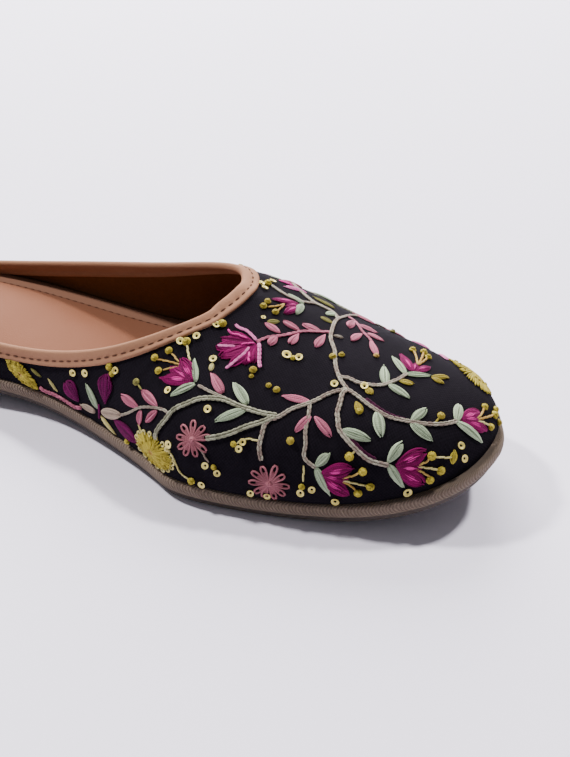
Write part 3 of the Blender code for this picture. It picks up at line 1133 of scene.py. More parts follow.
@dataclass
class Sock:
    """Padded sock: sloping border strip, stitched groove and crowned middle. Millimetres."""

    last: Last
    groove_inset: float = 6.2
    groove_height: float = 1.72
    crown: float = 1.2
    edge_inset: float = 0.8
    wall_room: float = 1.75
    wings_from: float = 10.0
    wings_blend: float = 11.0
    stations: int = 220
    thread: RunningStitch = RunningStitch(pitch=3.1, share=0.62, width=0.5)

    def inset(self, x: Array) -> Array:
        """Inset of the edge: inside the upper's wall, but nearly full width behind the wings."""
        return self.edge_inset + self.wall_room * smooth_step((x - self.wings_from) / self.wings_blend)

    def profile(self) -> Array:
        """Profile from the edge inwards: border slope, groove and padded shoulder.

        Returns:
            One row for each ring: inset and height.
        """
        before, after = self.groove_inset - 0.25, self.groove_inset + 0.15
        return np.array([
            (0.0, 0.0), (0.0, 1.7), (0.25, 2.15), (0.9, 2.35), (2.2, 2.4), (3.6, 2.35), (4.7, 2.25),
            (5.4, 2.1), (before, 1.75), (after, self.groove_height), (6.8, 2.05),
            (8.0, 2.45), (10.0, 2.75), (12.5, 2.95),
        ])

    def pad(self) -> Object:
        """The pad: rings at growing insets, filled by a crowned sheet whose rise is a half sine to a power.

        Returns:
            The piece, whose UV map holds the place along the shoe and the inset.
        """
        last, profile = self.last, self.profile()
        rings = last.rings(
            profile,
            lambda x, y: -self.inset(x),
            lambda x, up: last.feather_height(x) + last.gap + up,
            self.stations,
        )
        columns = np.linspace(0.0, 1.0, 25)
        edge = np.stack(rings, axis=1)
        top = across(rings[-1], columns, self.crown * np.sin(np.pi * columns) ** 0.7)
        base = across(rings[0], np.linspace(0.0, 1.0, 5))

        def patch(grid: Array, inset: Array | float, wrap: bool = False) -> Patch:
            """Patch that carries its insets."""
            return Patch.of(grid, pair(grid[..., 0], inset), wrap)

        patches = [patch(edge, profile[:, 0], wrap=True), patch(top, 13.0), patch(base, 0.0)]
        mesh = solid("sock_pad", patches, layer="sock", sharp=60.0)
        piece = show(mesh, SockLeather(self.groove_inset).material())
        return piece

    def stitches(self) -> Object:
        """Running stitch that lies in the groove.

        Returns:
            The piece.
        """
        plan, out = self.last.feather_line()
        line = plan - out * (self.inset(plan[:, 0]) + self.groove_inset)[:, None]
        height = self.last.feather_height(line[:, 0]) + self.last.gap + self.groove_height
        path = np.column_stack([line, height])
        mesh = self.thread.bars("sock_stitches", path, np.broadcast_to(UP, path.shape))
        return show(mesh, SOCK_THREAD.material())


@dataclass
class Vamp:
    """Cotton upper and its lining, from the feather line to under the collar. Millimetres."""

    last: Last
    ripple: float = 0.10
    top_climb: float = 99.0

    def sheet(self, name: str, columns: int, rows: int, outer: float, inner: float) -> Mesh:
        """Closed sheet between two shares of the upper's wall.

        A ripple, the product of a sine of x and a sine of y, takes it off dead smooth; it fades out by a
        half sine towards both edges.

        Args:
            name: The mesh's name.
            columns: Points round the shoe.
            rows: Points from feather line to collar.
            outer: Share of the wall at which the outside face lies.
            inner: Share at which the inside face lies.

        Returns:
            The mesh.
        """
        climb = np.linspace(0.0, self.top_climb, rows)
        place = pair(np.linspace(0.0, 100.0, columns)[:, None], climb)
        points = self.last.upper(place)
        _, _, normal = self.last.tangents(np.clip(place, *INSIDE))
        wall = self.last.thickness(run(points[:, ::-1], 1)[:, ::-1])[..., None]
        wave = self.ripple * np.sin(0.13 * points[..., 0] + 0.9) * np.sin(0.31 * points[..., 1] - 0.4)
        wave = (wave * np.sin(np.pi * climb / 100.0))[..., None]
        faces = [points + normal * (wave - share * wall) for share in (outer, inner)]
        for face in faces:
            face[:, 0, 2] = points[:, 0, 2]
        return solid(name, shell(*faces))

    def cover(self) -> Object:
        """Cotton outside of the upper."""
        return show(self.sheet("vamp_cotton", 420, 58, 0.0, 0.42), BlackCotton().material())

    def lining(self) -> Object:
        """Dark lining of the upper."""
        return show(self.sheet("vamp_lining", 200, 30, 0.46, 1.0), LINING.material())


@dataclass
class Collar:
    """Leather strip folded over the top edge, stitched through near its lower edge. Millimetres."""

    last: Last
    flap: float = 4.6
    wing_flap: float = 4.3
    thickness: float = 0.8
    fold_height: float = 1.25
    stitch_share: float = 0.5
    groove_width: float = 0.5
    groove_depth: float = 0.22
    dimple_depth: float = 0.22
    columns: int = 700
    depth: tuple = (1.0, 0.995, 0.97, 0.9, 0.82, 0.74, 0.66, 0.55, 0.42, 0.28, 0.14, 0.04)
    swell: tuple = (0.05, 0.7, 1.0, 1.15, 1.2, 1.1, 1.0, 0.95, 0.95, 1.0, 1.0, 1.0)
    thread: RunningStitch = RunningStitch(pitch=3.3, share=0.66, width=0.55, start=0.8)

    def skirt(self, around: Array) -> tuple[Array, Array]:
        """Depths of both flaps; the outer one narrows towards the wing ends.

        Args:
            around: Round shares.

        Returns:
            Depths of the outer and of the inner flap.
        """
        height = run(self.last.upper(pair(around[:, None], np.linspace(0.0, 100.0, 25))), 1)[:, -1]
        full = smooth_step((np.minimum(around, 100.0 - around) - 24.0) / 10.0)
        outer = self.wing_flap + (self.flap - self.wing_flap) * full
        return np.minimum(outer, 0.75 * height), np.minimum(self.flap, np.maximum(height - 3.8, 0.4))

    def strip(self) -> Object:
        """The folded strip.

        Its section runs up the outer flap, over the top in a half ellipse and down the inner flap. The flap
        stands off the cloth by the leather's thickness times its swell, less a bell-shaped groove along the
        seam that a cosine deepens at each stitch.

        Returns:
            The piece.
        """
        last, depth, swell = self.last, np.array(self.depth), np.array(self.swell)
        around = np.linspace(0.0, 100.0, self.columns)
        inside = np.clip(around, *INSIDE)
        near_top = pair(inside, INSIDE[1])
        walk = run(last.upper(near_top)[None], 1)[0]
        pinch = 0.5 + 0.5 * np.cos(FULL_TURN * walk / self.thread.pitch)
        groove = np.exp(-((depth - 1.0 + self.stitch_share) * self.flap / self.groove_width) ** 2)
        rise = self.thickness * (swell - groove * (self.groove_depth + self.dimple_depth * pinch[:, None]))
        leather, cloth = [], []
        for flap, side in zip(self.skirt(around), (1.0, -1.0)):
            below = flap[:, None] * depth
            place = last.below_collar(inside[:, None], below)
            _, _, normal = last.tangents(place)
            points = last.upper(place)
            if side < 0.0:
                points = points - normal * last.thickness(below)[..., None]
            leather.append(points + normal * (side * rise)[..., None])
            cloth.append(points)
        _, up, normal = last.tangents(near_top)
        crest = (last.upper(pair(inside, 100.0)) - normal * 0.5 * last.skived_wall)[:, None]
        turn = np.linspace(0.0, np.pi, 13)[1:-1, None]
        half = 0.5 * last.skived_wall + self.thickness
        arc = np.cos(turn) * normal[:, None] * half + np.sin(turn) * unit(up)[:, None] * self.fold_height
        section = np.concatenate([leather[0], crest + arc, leather[1][:, ::-1]], axis=1)
        back = np.concatenate([cloth[0], np.repeat(crest, len(turn), axis=1), cloth[1][:, ::-1]], axis=1)
        mesh = solid("collar_strip", shell(section, back), sharp=70.0)
        return show(mesh, BINDING.material())

    def stitches(self) -> Object:
        """Thread bars that bridge the dimples along the outer flap.

        Returns:
            The piece.
        """
        around = np.linspace(0.3, 99.7, 2000)
        place = self.last.below_collar(around, self.skirt(around)[0] * (1.0 - self.stitch_share))
        _, _, normal = self.last.tangents(place)
        path = self.last.upper(place) + normal * (self.thickness * 0.72)
        mesh = self.thread.bars("collar_stitches", path, normal)
        return show(mesh, COLLAR_THREAD.material())


# ---------------------------------------------------------------- needlework


Place = tuple[float, float]


class Leaf(NamedTuple):
    """Leaf or petal of long satin stitches. Places are round share and climb in percent; widths are mm."""

    hue: Hue
    foot: Place
    tip: Place
    width: float = 2.8
    widest: float = 0.9


class Stem(NamedTuple):
    """Line of chain stitch, or of single back stitches where it is narrow."""

    hue: Hue
    width: float
    places: tuple[Place, ...]
    lift: float = 0.0


class Knot(NamedTuple):
    """Wound knot."""

    hue: Hue
    place: Place
    size: float


class Sequin(NamedTuple):
    """Cupped disc with a hole."""

    place: Place
    size: float


class Daisy(NamedTuple):
    """Flower of open loops round a knot. Loops run from inner to reach, and half is their half width."""

    hue: Hue
    place: Place
    reach: float
    petals: int
    turn: float
    inner: float = 0.45
    half: float = 0.74
    thread: float = 0.33
    knot: float = 2.4


class Marigold(NamedTuple):
    """Oval flower of radial stitches with a scalloped edge; half axes in percent, turned by degrees."""

    place: Place
    half: Place
    outline: bool
    turn: float


def coloured(kind: type, table: dict[Hue, tuple]) -> tuple:
    """Rows of one kind from a table that lists them by colour.

    Args:
        kind: Leaf, Stem or Knot, whose first field is the colour.
        table: For each colour, the other fields of its rows.

    Returns:
        The rows.
    """
    return tuple(kind(hue, *fields) for hue, rows in table.items() for fields in rows)


def by_hue(rows: tuple) -> list[tuple[Hue, list[Array]]]:
    """Rows gathered by colour, in the order of the cottons.

    Args:
        rows: Rows of one kind, whose first field is the colour.

    Returns:
        Each colour that the rows have, with one array for each of their other fields.
    """
    found = []
    for hue in Hue:
        own = [row[1:] for row in rows if row.hue is hue]
        if own:
            found.append((hue, [np.array(column) for column in zip(*own)]))
    return found


# Percent: rows of the inner side that lie past both are on the crest, where the toe's rows are already.
CREST = (31.0, 56.0)


def flipped(rows: tuple) -> tuple:
    """Rows mirrored from the inner to the outer side, without those on the crest.

    Args:
        rows: Rows of one kind.

    Returns:
        The kept rows, with each round share counted from the other end.
    """

    def swap(value: Any) -> Any:
        """The other side's place, or places."""
        several = isinstance(value[0], tuple)
        return tuple(swap(part) for part in value) if several else (round(100.0 - value[0], 3), value[1])

    kept = []
    for row in rows:
        keys = [key for key in ("foot", "tip", "place", "places") if hasattr(row, key)]
        anchor = getattr(row, keys[0])
        anchor = anchor[0] if isinstance(anchor[0], tuple) else anchor
        if anchor[0] < CREST[0] or anchor[1] < CREST[1]:
            kept.append(row._replace(**{key: swap(getattr(row, key)) for key in keys}))
    return tuple(kept)


INNER_LEAVES = coloured(Leaf, {
    Hue.SAGE: (
        ((19.9, 30.0), (19.75, 63.0), 2.8), ((30.35, 64.5), (30.0, 78.0), 2.6),
        ((30.3, 63.5), (28.2, 57.5), 2.8), ((34.5, 52.0), (34.0, 64.0), 3.3),
        ((34.3, 49.5), (31.9, 42.0), 3.1), ((37.6, 19.0), (38.9, 25.5), 3.0, 1.3),
        ((37.6, 18.5), (38.2, 4.5), 2.8),
    ),
    Hue.PINK: (
        ((24.7, 48.0), (23.1, 57.5), 3.0, 1.3), ((26.9, 50.0), (25.2, 63.0), 3.0, 1.3),
        ((24.9, 45.8), (24.35, 32.0), 2.8), ((26.9, 46.5), (25.4, 37.5), 2.9, 1.1),
        ((32.7, 58.0), (31.9, 69.0), 3.2, 0.8), ((39.2, 44.5), (37.3, 37.5), 2.6),
        ((39.5, 44.0), (39.6, 33.5), 2.8, 1.1), ((40.2, 51.0), (38.1, 55.8), 2.6, 1.1),
    ),
    Hue.MOSS: (
        ((14.35, 62.0), (14.9, 46.0), 1.3),
    ),
    Hue.CREAM: (
        ((15.8, 22.0), (15.6, 50.0), 1.2), ((19.9, 20.0), (21.0, 1.5), 2.2),
        ((31.8, 70.5), (32.1, 75.0), 1.6),
    ),
    Hue.BLUSH: (
        ((19.4, 21.0), (17.9, 19.5), 2.5), ((20.2, 27.0), (22.4, 35.0), 3.8),
    ),
})
TOE_LEAVES = coloured(Leaf, {
    Hue.SAGE: (
        ((40.7, 35.6), (42.0, 29.0), 3.4), ((42.2, 17.0), (43.8, 24.3), 3.2, 1.3),
        ((42.2, 16.0), (42.75, 4.5), 2.9), ((44.0, 39.8), (42.8, 28.8), 3.5),
        ((45.3, 31.0), (47.0, 32.6), 3.0, 1.2), ((45.2, 30.5), (45.5, 19.8), 3.1),
        ((47.8, 21.5), (49.2, 25.4), 3.4, 1.2), ((47.8, 21.5), (48.6, 6.5), 3.0),
        ((47.0, 48.0), (49.2, 53.0), 3.2), ((47.2, 47.3), (47.0, 39.0), 2.9),
        ((49.3, 46.0), (51.1, 52.5), 2.5), ((49.3, 46.2), (50.6, 39.0), 2.4),
        ((57.5, 69.0), (55.7, 73.0), 3.2), ((57.0, 80.0), (52.2, 81.9), 3.0, 1.2),
        ((57.5, 79.5), (60.0, 84.0), 2.2),
    ),
    Hue.STEM: (
        ((50.8, 70.0), (51.0, 67.0), 1.3, 1.2),
    ),
    Hue.PINK: (
        ((57.0, 63.3), (53.6, 66.6), 3.0, 1.5), ((53.3, 62.5), (51.0, 65.0), 2.9, 1.5),
        ((56.0, 62.3), (55.0, 57.3), 2.4), ((54.0, 60.6), (53.2, 55.8), 2.3),
        ((52.4, 59.8), (50.0, 56.3), 2.5, 1.2), ((50.6, 73.5), (50.5, 79.0), 2.5, 1.2),
        ((48.9, 78.5), (49.2, 83.8), 2.5, 1.2), ((46.3, 81.7), (46.5, 87.0), 2.5, 1.2),
        ((50.3, 72.0), (47.3, 71.5), 3.0, 1.7), ((48.2, 78.0), (45.3, 76.8), 3.0, 1.7),
        ((45.5, 81.5), (42.5, 79.5), 3.0, 1.6), ((66.0, 80.5), (66.0, 70.0), 2.4),
    ),
    Hue.BRIGHT: (
        ((64.6, 78.0), (64.9, 84.0), 2.0),
    ),
    Hue.PALE: (
        ((63.2, 74.0), (62.8, 84.0), 2.6, 1.3), ((58.7, 38.0), (57.2, 34.6), 2.2, 1.2),
        ((57.0, 31.0), (55.2, 31.8), 2.4, 1.2),
    ),
    Hue.YELLOW: (
        ((46.0, 6.8), (46.45, 12.0), 2.5, 1.1),
    ),
    Hue.OCHRE: (
        ((43.6, 46.8), (43.0, 41.6), 2.6, 1.4), ((45.5, 50.3), (45.2, 47.0), 2.5, 1.2),
        ((48.2, 46.2), (48.6, 42.0), 2.4, 1.2), ((50.5, 39.0), (51.4, 33.7), 2.4, 1.3),
        ((50.4, 38.8), (50.3, 34.3), 2.2, 1.3),
    ),
    Hue.MOSS: (
        ((47.0, 87.0), (48.6, 84.4), 2.0), ((54.2, 74.8), (53.4, 71.0), 2.0),
        ((60.3, 66.3), (62.4, 72.4), 2.0),
    ),
})
INNER_PETALS = coloured(Leaf, {
    Hue.MAGENTA: (
        ((30.1, 65.0), (27.0, 70.0), 4.6, 1.1), ((30.1, 65.0), (27.8, 75.5), 4.0, 1.1),
        ((30.1, 65.0), (28.7, 79.5), 5.0, 1.1), ((37.8, 14.7), (39.4, 11.3), 3.8, 1.1),
        ((37.8, 15.5), (40.0, 16.8), 5.0, 1.35), ((37.8, 14.0), (39.4, 4.8), 5.0, 1.35),
    ),
    # Petals darkened with painted shade.
    Hue.WINE: (
        ((17.9, 25.0), (17.55, 57.0), 6.4, 1.5), ((21.0, 42.0), (22.1, 77.0), 6.6, 1.9),
        ((21.4, 25.0), (23.6, 12.5), 5.4, 1.3),
    ),
})
TOE_PETALS = coloured(Leaf, {
    Hue.MAGENTA: (
        ((42.6, 14.0), (44.1, 10.5), 4.0, 1.1), ((42.6, 15.0), (44.7, 16.6), 5.2, 1.35),
        ((42.6, 13.0), (44.0, 3.6), 5.2, 1.35), ((48.2, 20.8), (49.6, 14.8), 3.2, 1.1),
        ((48.2, 21.3), (50.0, 17.0), 4.2, 1.35), ((48.2, 20.3), (49.5, 8.3), 3.8, 1.35),
        ((50.0, 44.5), (51.4, 45.2), 2.4, 1.1), ((50.0, 44.6), (51.9, 50.5), 3.4, 1.1),
        ((50.1, 44.3), (51.7, 40.6), 3.0, 1.1), ((55.8, 81.5), (53.4, 85.8), 2.6, 1.1),
        ((56.6, 81.5), (54.3, 89.8), 3.4, 1.1), ((55.0, 81.5), (51.0, 85.0), 3.4, 1.1),
    ),
})
FAN_PETALS = coloured(Leaf, {
    Hue.MAGENTA: (
        ((40.6, 81.8), (36.9, 88.4), 3.6, 1.5), ((40.6, 81.6), (34.2, 86.6), 4.6, 1.5),
        ((40.6, 81.5), (33.0, 82.3), 4.6, 1.5), ((40.6, 81.4), (33.1, 77.5), 4.8, 1.5),
        ((40.6, 81.3), (34.1, 73.0), 4.4, 1.5), ((40.6, 81.2), (36.0, 72.3), 4.0, 1.5),
        ((40.6, 81.0), (37.7, 73.3), 3.6, 1.5),
    ),
})
INNER_STEMS = (
    Stem(Hue.PINK, 1.5, (
        (14.1, 14.0), (14.6, 9.0), (15.3, 11.0), (16.05, 10.0), (16.95, 7.0), (17.9, 14.0),
    )),
    # Stem darkened with painted shade.
    Stem(Hue.WINE, 0.9, ((20.3, 38.0), (20.05, 28.0), (19.7, 15.0))),
    Stem(Hue.STEM, 1.0, ((22.3, 35.0), (24.0, 44.8), (25.6, 49.4), (27.3, 48.2), (28.1, 43.5))),
    Stem(Hue.CREAM, 0.6, ((24.35, 33.0), (24.6, 25.5))),
    Stem(Hue.WILLOW, 1.8, (
        (26.6, 25.0), (27.05, 33.5), (28.05, 42.3), (28.8, 48.6), (30.0, 52.6), (30.9, 54.8), (31.8, 55.2),
    )),
    Stem(Hue.WILLOW, 1.8, (
        (31.6, 55.2), (32.6, 54.5), (33.4, 52.4), (34.0, 50.6), (34.8, 48.7), (35.5, 47.2), (36.5, 46.0),
    )),
    Stem(Hue.STEM, 1.1, ((30.6, 62.6), (31.9, 58.0), (32.8, 55.3), (33.6, 52.5))),
    Stem(Hue.CREAM, 0.7, ((29.6, 77.5), (29.3, 83.0), (29.1, 87.5))),
    Stem(Hue.MOSS, 0.6, ((24.9, 68.0), (25.2, 63.0))),
    Stem(Hue.STEM, 0.7, ((30.8, 25.0), (31.3, 17.0))),
    Stem(Hue.CREAM, 0.6, ((28.5, 18.5), (28.95, 12.0), (29.3, 6.5), (29.9, 3.4))),
    Stem(Hue.WILLOW, 1.8, (
        (36.5, 46.0), (35.9, 44.6), (35.3, 43.0), (34.4, 41.0), (33.75, 39.2), (32.3, 34.0), (31.2, 31.4),
    )),
    Stem(Hue.STEM, 1.5, (
        (36.2, 45.3), (35.4, 42.0), (34.85, 36.0), (34.6, 32.4), (34.4, 27.0), (34.4, 21.5),
    )),
    Stem(Hue.CREAM, 0.6, ((34.6, 32.0), (33.9, 33.0), (33.1, 30.0))),
    Stem(Hue.STEM, 1.3, (
        (40.0, 50.5), (39.1, 45.0), (38.0, 37.0), (37.5, 30.0), (37.1, 23.5), (37.6, 18.5),
    )),
    Stem(Hue.CREAM, 0.6, ((36.9, 19.5), (36.6, 11.5))),
    Stem(Hue.ORANGE, 0.6, ((28.7, 76.0), (27.7, 79.5), (26.6, 83.5))),
    Stem(Hue.ORANGE, 0.6, ((28.5, 78.0), (27.8, 84.5))),
    Stem(Hue.ORANGE, 0.6, ((28.6, 75.0), (27.2, 75.2))),
    Stem(Hue.ORANGE, 0.7, ((39.0, 12.6), (39.8, 13.6), (40.3, 14.6))),
    Stem(Hue.CREAM, 0.7, ((39.0, 12.0), (39.8, 10.0), (40.5, 8.2))),
    Stem(Hue.ORANGE, 0.7, ((39.0, 11.5), (39.6, 8.5), (39.8, 6.4))),
)
TOE_STEMS = (
    Stem(Hue.STEM, 1.5, (
        (44.15, 52.6), (43.2, 53.3), (42.3, 53.1), (41.2, 52.0), (40.0, 50.8), (38.2, 49.0), (37.1, 46.5),
        (36.0, 44.0),
    )),
    Stem(Hue.STEM, 1.4, (
        (44.15, 52.5), (44.5, 56.0), (45.5, 60.8), (46.9, 64.5), (48.3, 67.0), (50.0, 70.1), (51.8, 71.0),
        (54.0, 70.7), (56.3, 68.2),
    )),
    Stem(Hue.STEM, 1.4, (
        (55.6, 69.4), (58.0, 70.0), (59.5, 74.3), (61.0, 76.0), (64.0, 77.3), (67.0, 74.0), (68.2, 66.0),
        (69.0, 58.0),
    )),
    Stem(Hue.STEM, 1.2, ((56.3, 68.2), (59.0, 62.5), (60.6, 57.0))),
    Stem(Hue.STEM, 1.3, ((59.4, 74.5), (58.2, 80.0), (58.7, 84.5), (60.2, 87.8), (61.2, 90.0))),
    Stem(Hue.PINK, 1.2, (
        (51.2, 71.0), (49.8, 75.5), (48.5, 78.3), (45.8, 80.8), (43.6, 82.3), (41.0, 82.0),
    )),
    Stem(Hue.PINK, 1.0, ((58.2, 63.8), (56.6, 63.0), (54.3, 62.6), (53.0, 60.6), (51.5, 58.4))),
    Stem(Hue.STEM, 1.4, (
        (44.15, 52.6), (44.15, 48.5), (44.1, 45.6), (44.1, 42.8), (44.2, 39.3), (44.4, 36.2), (44.9, 33.1),
        (45.7, 28.8), (46.4, 25.8), (47.0, 23.8), (47.9, 21.6),
    )),
    Stem(Hue.STEM, 1.6, (
        (44.15, 52.6), (43.6, 52.0), (43.0, 50.4), (42.1, 46.9), (41.4, 43.8), (41.05, 41.1), (40.6, 37.2),
        (40.5, 33.5), (40.65, 27.4), (40.9, 22.9), (41.3, 19.2), (42.2, 15.8),
    )),
    Stem(Hue.STEM, 1.4, (
        (44.8, 58.6), (45.4, 56.5), (45.5, 53.8), (46.0, 50.8), (46.8, 48.3), (47.6, 47.4), (48.3, 46.6),
        (49.4, 46.0),
    )),
    Stem(Hue.PLUM, 1.3, ((44.45, 46.5), (44.4, 43.0), (44.45, 39.5), (44.65, 36.0), (45.1, 32.6))),
    Stem(Hue.PLUM, 1.2, ((40.9, 31.5), (40.95, 28.0), (41.15, 23.5), (41.6, 19.6))),
    Stem(Hue.ORANGE, 0.7, ((43.8, 12.3), (44.4, 12.6), (44.7, 14.0))),
    Stem(Hue.CREAM, 0.7, ((43.8, 12.0), (44.5, 9.5), (45.0, 7.2))),
    Stem(Hue.ORANGE, 0.7, ((43.7, 11.0), (44.2, 7.5), (44.4, 5.6))),
    Stem(Hue.CREAM, 0.6, ((45.1, 13.2), (45.6, 11.2), (46.1, 9.5))),
    Stem(Hue.ORANGE, 0.7, ((49.2, 16.5), (50.0, 15.6), (50.6, 15.8))),
    Stem(Hue.ORANGE, 0.7, ((49.2, 16.0), (50.2, 12.6), (51.0, 9.6))),
    Stem(Hue.CREAM, 0.7, ((49.2, 15.4), (49.7, 11.6), (49.9, 9.0))),
    Stem(Hue.ORANGE, 0.8, ((51.2, 44.6), (52.4, 45.6), (53.3, 46.4))),
    Stem(Hue.ORANGE, 0.8, ((51.2, 44.4), (52.8, 43.6), (53.8, 42.9))),
    Stem(Hue.ORANGE, 0.7, ((51.3, 44.2), (52.3, 42.8), (53.0, 41.9))),
    Stem(Hue.OCHRE, 0.6, ((46.5, 26.2), (47.2, 26.8))),
    Stem(Hue.CREAM, 0.6, ((40.7, 25.2), (40.2, 23.6))),
    Stem(Hue.ORANGE, 0.7, ((54.0, 86.0), (52.2, 87.8), (50.8, 89.8))),
    Stem(Hue.ORANGE, 0.7, ((54.0, 86.0), (52.6, 86.4), (50.6, 87.0))),
    Stem(Hue.PALE, 1.1, ((41.1, 82.2), (41.2, 85.2), (40.8, 87.6), (40.0, 88.9), (39.7, 90.6)), 0.6),
    Stem(Hue.BRIGHT, 0.8, ((39.6, 83.8), (38.3, 86.2), (37.0, 87.4), (36.8, 89.4)), 0.6),
    Stem(Hue.BRIGHT, 0.7, ((40.2, 81.3), (38.9, 81.8), (37.6, 82.0)), 0.6),
    Stem(Hue.PALE, 1.0, ((36.2, 81.6), (34.6, 82.2), (33.1, 83.0)), 0.6),
    Stem(Hue.PALE, 1.0, ((38.7, 80.2), (36.9, 77.5), (35.3, 75.0), (33.5, 70.8)), 0.6),
    Stem(Hue.BRIGHT, 0.8, ((38.1, 77.8), (37.4, 75.6), (36.9, 73.3)), 0.6),
    Stem(Hue.PALE, 1.3, ((41.0, 80.8), (39.7, 77.0), (38.6, 73.4), (38.0, 70.2)), 0.6),
)
INNER_KNOTS = coloured(Knot, {
    Hue.YELLOW: (
        ((22.6, 84.5), 2.8), ((22.7, 78.0), 2.4), ((22.3, 5.5), 2.4), ((26.4, 85.0), 2.7),
        ((27.5, 87.0), 2.7), ((26.8, 75.0), 2.7), ((29.0, 89.3), 3.1), ((30.1, 3.0), 2.7),
        ((40.5, 15.0), 2.8), ((40.75, 7.6), 2.8), ((39.95, 5.2), 2.8), ((36.5, 8.6), 2.2),
        ((32.9, 29.5), 2.0), ((31.6, 14.5), 2.0),
    ),
    Hue.OCHRE: (
        ((36.6, 32.5), 2.6), ((38.0, 59.0), 2.5), ((37.5, 61.5), 2.0),
    ),
    Hue.MOSS: (
        ((24.8, 69.5), 2.6),
    ),
    Hue.CREAM: (
        ((28.1, 20.5), 2.0),
    ),
})
TOE_KNOTS = coloured(Knot, {
    Hue.YELLOW: (
        ((40.05, 22.8), 2.9), ((43.0, 42.3), 2.4), ((44.9, 14.2), 2.9), ((45.15, 6.5), 2.9),
        ((44.4, 4.4), 2.8), ((50.8, 15.8), 2.5), ((51.2, 8.8), 2.8), ((51.9, 8.6), 2.4),
        ((50.0, 7.9), 2.5), ((53.5, 46.7), 2.5), ((54.0, 42.7), 2.6), ((53.2, 41.5), 2.5),
        ((61.4, 91.4), 2.9), ((36.0, 93.0), 3.2), ((43.4, 71.6), 2.0),
    ),
    Hue.OCHRE: (
        ((51.4, 3.2), 2.4), ((47.3, 27.0), 2.6), ((47.1, 65.6), 2.6), ((48.0, 64.3), 2.2),
        ((50.3, 91.0), 2.6), ((52.4, 90.8), 2.4), ((50.3, 87.2), 2.5), ((36.9, 69.8), 2.7),
        ((36.2, 66.8), 1.7),
    ),
    Hue.MOSS: (
        ((58.7, 46.5), 2.2),
    ),
    Hue.ORANGE: (
        ((50.1, 56.5), 2.0),
    ),
})
INNER_SEQUINS = (
    Sequin((18.85, 75.0), 2.8), Sequin((20.1, 77.0), 3.0), Sequin((23.1, 80.5), 2.8),
    Sequin((27.9, 60.5), 2.9), Sequin((31.4, 48.5), 2.9), Sequin((28.4, 90.6), 2.9),
    Sequin((30.1, 90.6), 2.9), Sequin((32.2, 76.5), 2.9), Sequin((28.35, 24.3), 3.0),
    Sequin((33.5, 31.0), 2.6), Sequin((31.1, 15.0), 2.6), Sequin((31.8, 11.5), 2.6),
    Sequin((33.2, 27.0), 2.6), Sequin((30.8, 2.4), 2.8), Sequin((34.5, 2.2), 2.6),
    Sequin((33.6, 2.6), 2.6), Sequin((36.4, 5.6), 2.8), Sequin((37.1, 7.6), 2.6), Sequin((38.5, 1.8), 3.0),
)
TOE_SEQUINS = (
    Sequin((43.0, 2.0), 3.3), Sequin((45.5, 51.0), 2.8), Sequin((43.7, 56.2), 2.8),
    Sequin((46.95, 12.2), 2.7), Sequin((46.85, 6.4), 2.8), Sequin((43.1, 73.4), 3.4),
    Sequin((44.0, 70.8), 2.8), Sequin((33.9, 93.3), 2.8), Sequin((60.4, 94.0), 2.8),
    Sequin((62.9, 88.8), 2.8), Sequin((58.6, 92.8), 2.6), Sequin((47.2, 88.6), 1.8),
)
INNER_DAISIES = (
    Daisy(Hue.ROSE, (30.25, 29.6), 5.6, 9, 10.0), Daisy(Hue.ROSE, (34.65, 9.0), 6.0, 10, 0.0),
)
INNER_MARIGOLDS = (
    Marigold((12.95, 37.0), (1.65, 18.0), False, -30.0),
    Marigold((26.0, 13.9), (2.85, 13.0), True, -6.0),
)
TOE_MARIGOLDS = (Marigold((55.2, 20.0), (3.0, 10.5), False, 0.0),)

STATIONS = 9
ALONG = np.linspace(0.0, 1.0, STATIONS)
TUBE_SIDES = 6
BOTH_SIDES = np.array([-1.0, 1.0])


class Bed(NamedTuple):
    """Flat beds that touch the upper: foot points, unit directions along and across, places of the feet."""

    foot: Array
    along: Array
    across: Array
    near: Array

    def turned(self, angles: Array) -> "Bed":
        """Beds turned in their own planes, by as many angles in radians as there are beds."""
        c, s = np.cos(angles)[:, None], np.sin(angles)[:, None]
        return Bed(self.foot, c * self.along + s * self.across, c * self.across - s * self.along, self.near)

    def repeated(self, times: int) -> "Bed":
        """Each bed several times over, one after another."""
        return Bed(*(np.repeat(part, times, axis=0) for part in self))

    def spots(self, a: Array, b: Array | float) -> tuple[Array, Array]:
        """Points drawn on the beds.

        Args:
            a: Distances along the beds: beds by threads by stations, or fewer.
            b: Distances across them.

        Returns:
            The places of the feet, and the points: beds by threads by stations by three.
        """
        foot, along, across, near = (part[:, None, None] for part in self)
        return near, foot + a[..., None] * along + np.asarray(b)[..., None] * across


class Turn(NamedTuple):
    """One round turn of thread: its radius, the thread's and its height, as shares of the knot's size."""

    radius: float
    thick: float
    rise: float


def knot_turns(wide: float, narrow: float) -> tuple[Turn, Turn]:
    """A wide turn with a narrow one on top, at given heights."""
    return Turn(0.29, 0.20, wide), Turn(0.15, 0.18, narrow)


class Rays(NamedTuple):
    """Fan of threads in a marigold, from one share of the oval's radius to another."""

    hue: Hue
    count: int
    low: float
    high: float
    rise: float
    thick: float


class Circlet(NamedTuple):
    """Knots or loops spaced round a marigold at one share of the oval's radius."""

    hue: Hue
    count: int
    share: float
    size: float
    turns: tuple[Turn, ...]
    jitter: float


MARIGOLD_RAYS = (Rays(Hue.YELLOW, 60, 0.40, 0.98, 0.45, 0.38), Rays(Hue.YELLOW, 38, 0.14, 0.66, 0.85, 0.36))
MARIGOLD_KNOTS = (
    Circlet(Hue.OCHRE, 13, 0.66, 1.1, knot_turns(0.90, 1.05), 0.5),
    Circlet(Hue.ORANGE, 5, 0.13, 1.5, knot_turns(0.55, 0.75), 0.2),
)
MARIGOLD_OUTLINE = Circlet(Hue.CREAM, 17, 1.0, 2.3, (Turn(0.33, 0.13, 0.12),), 0.05)


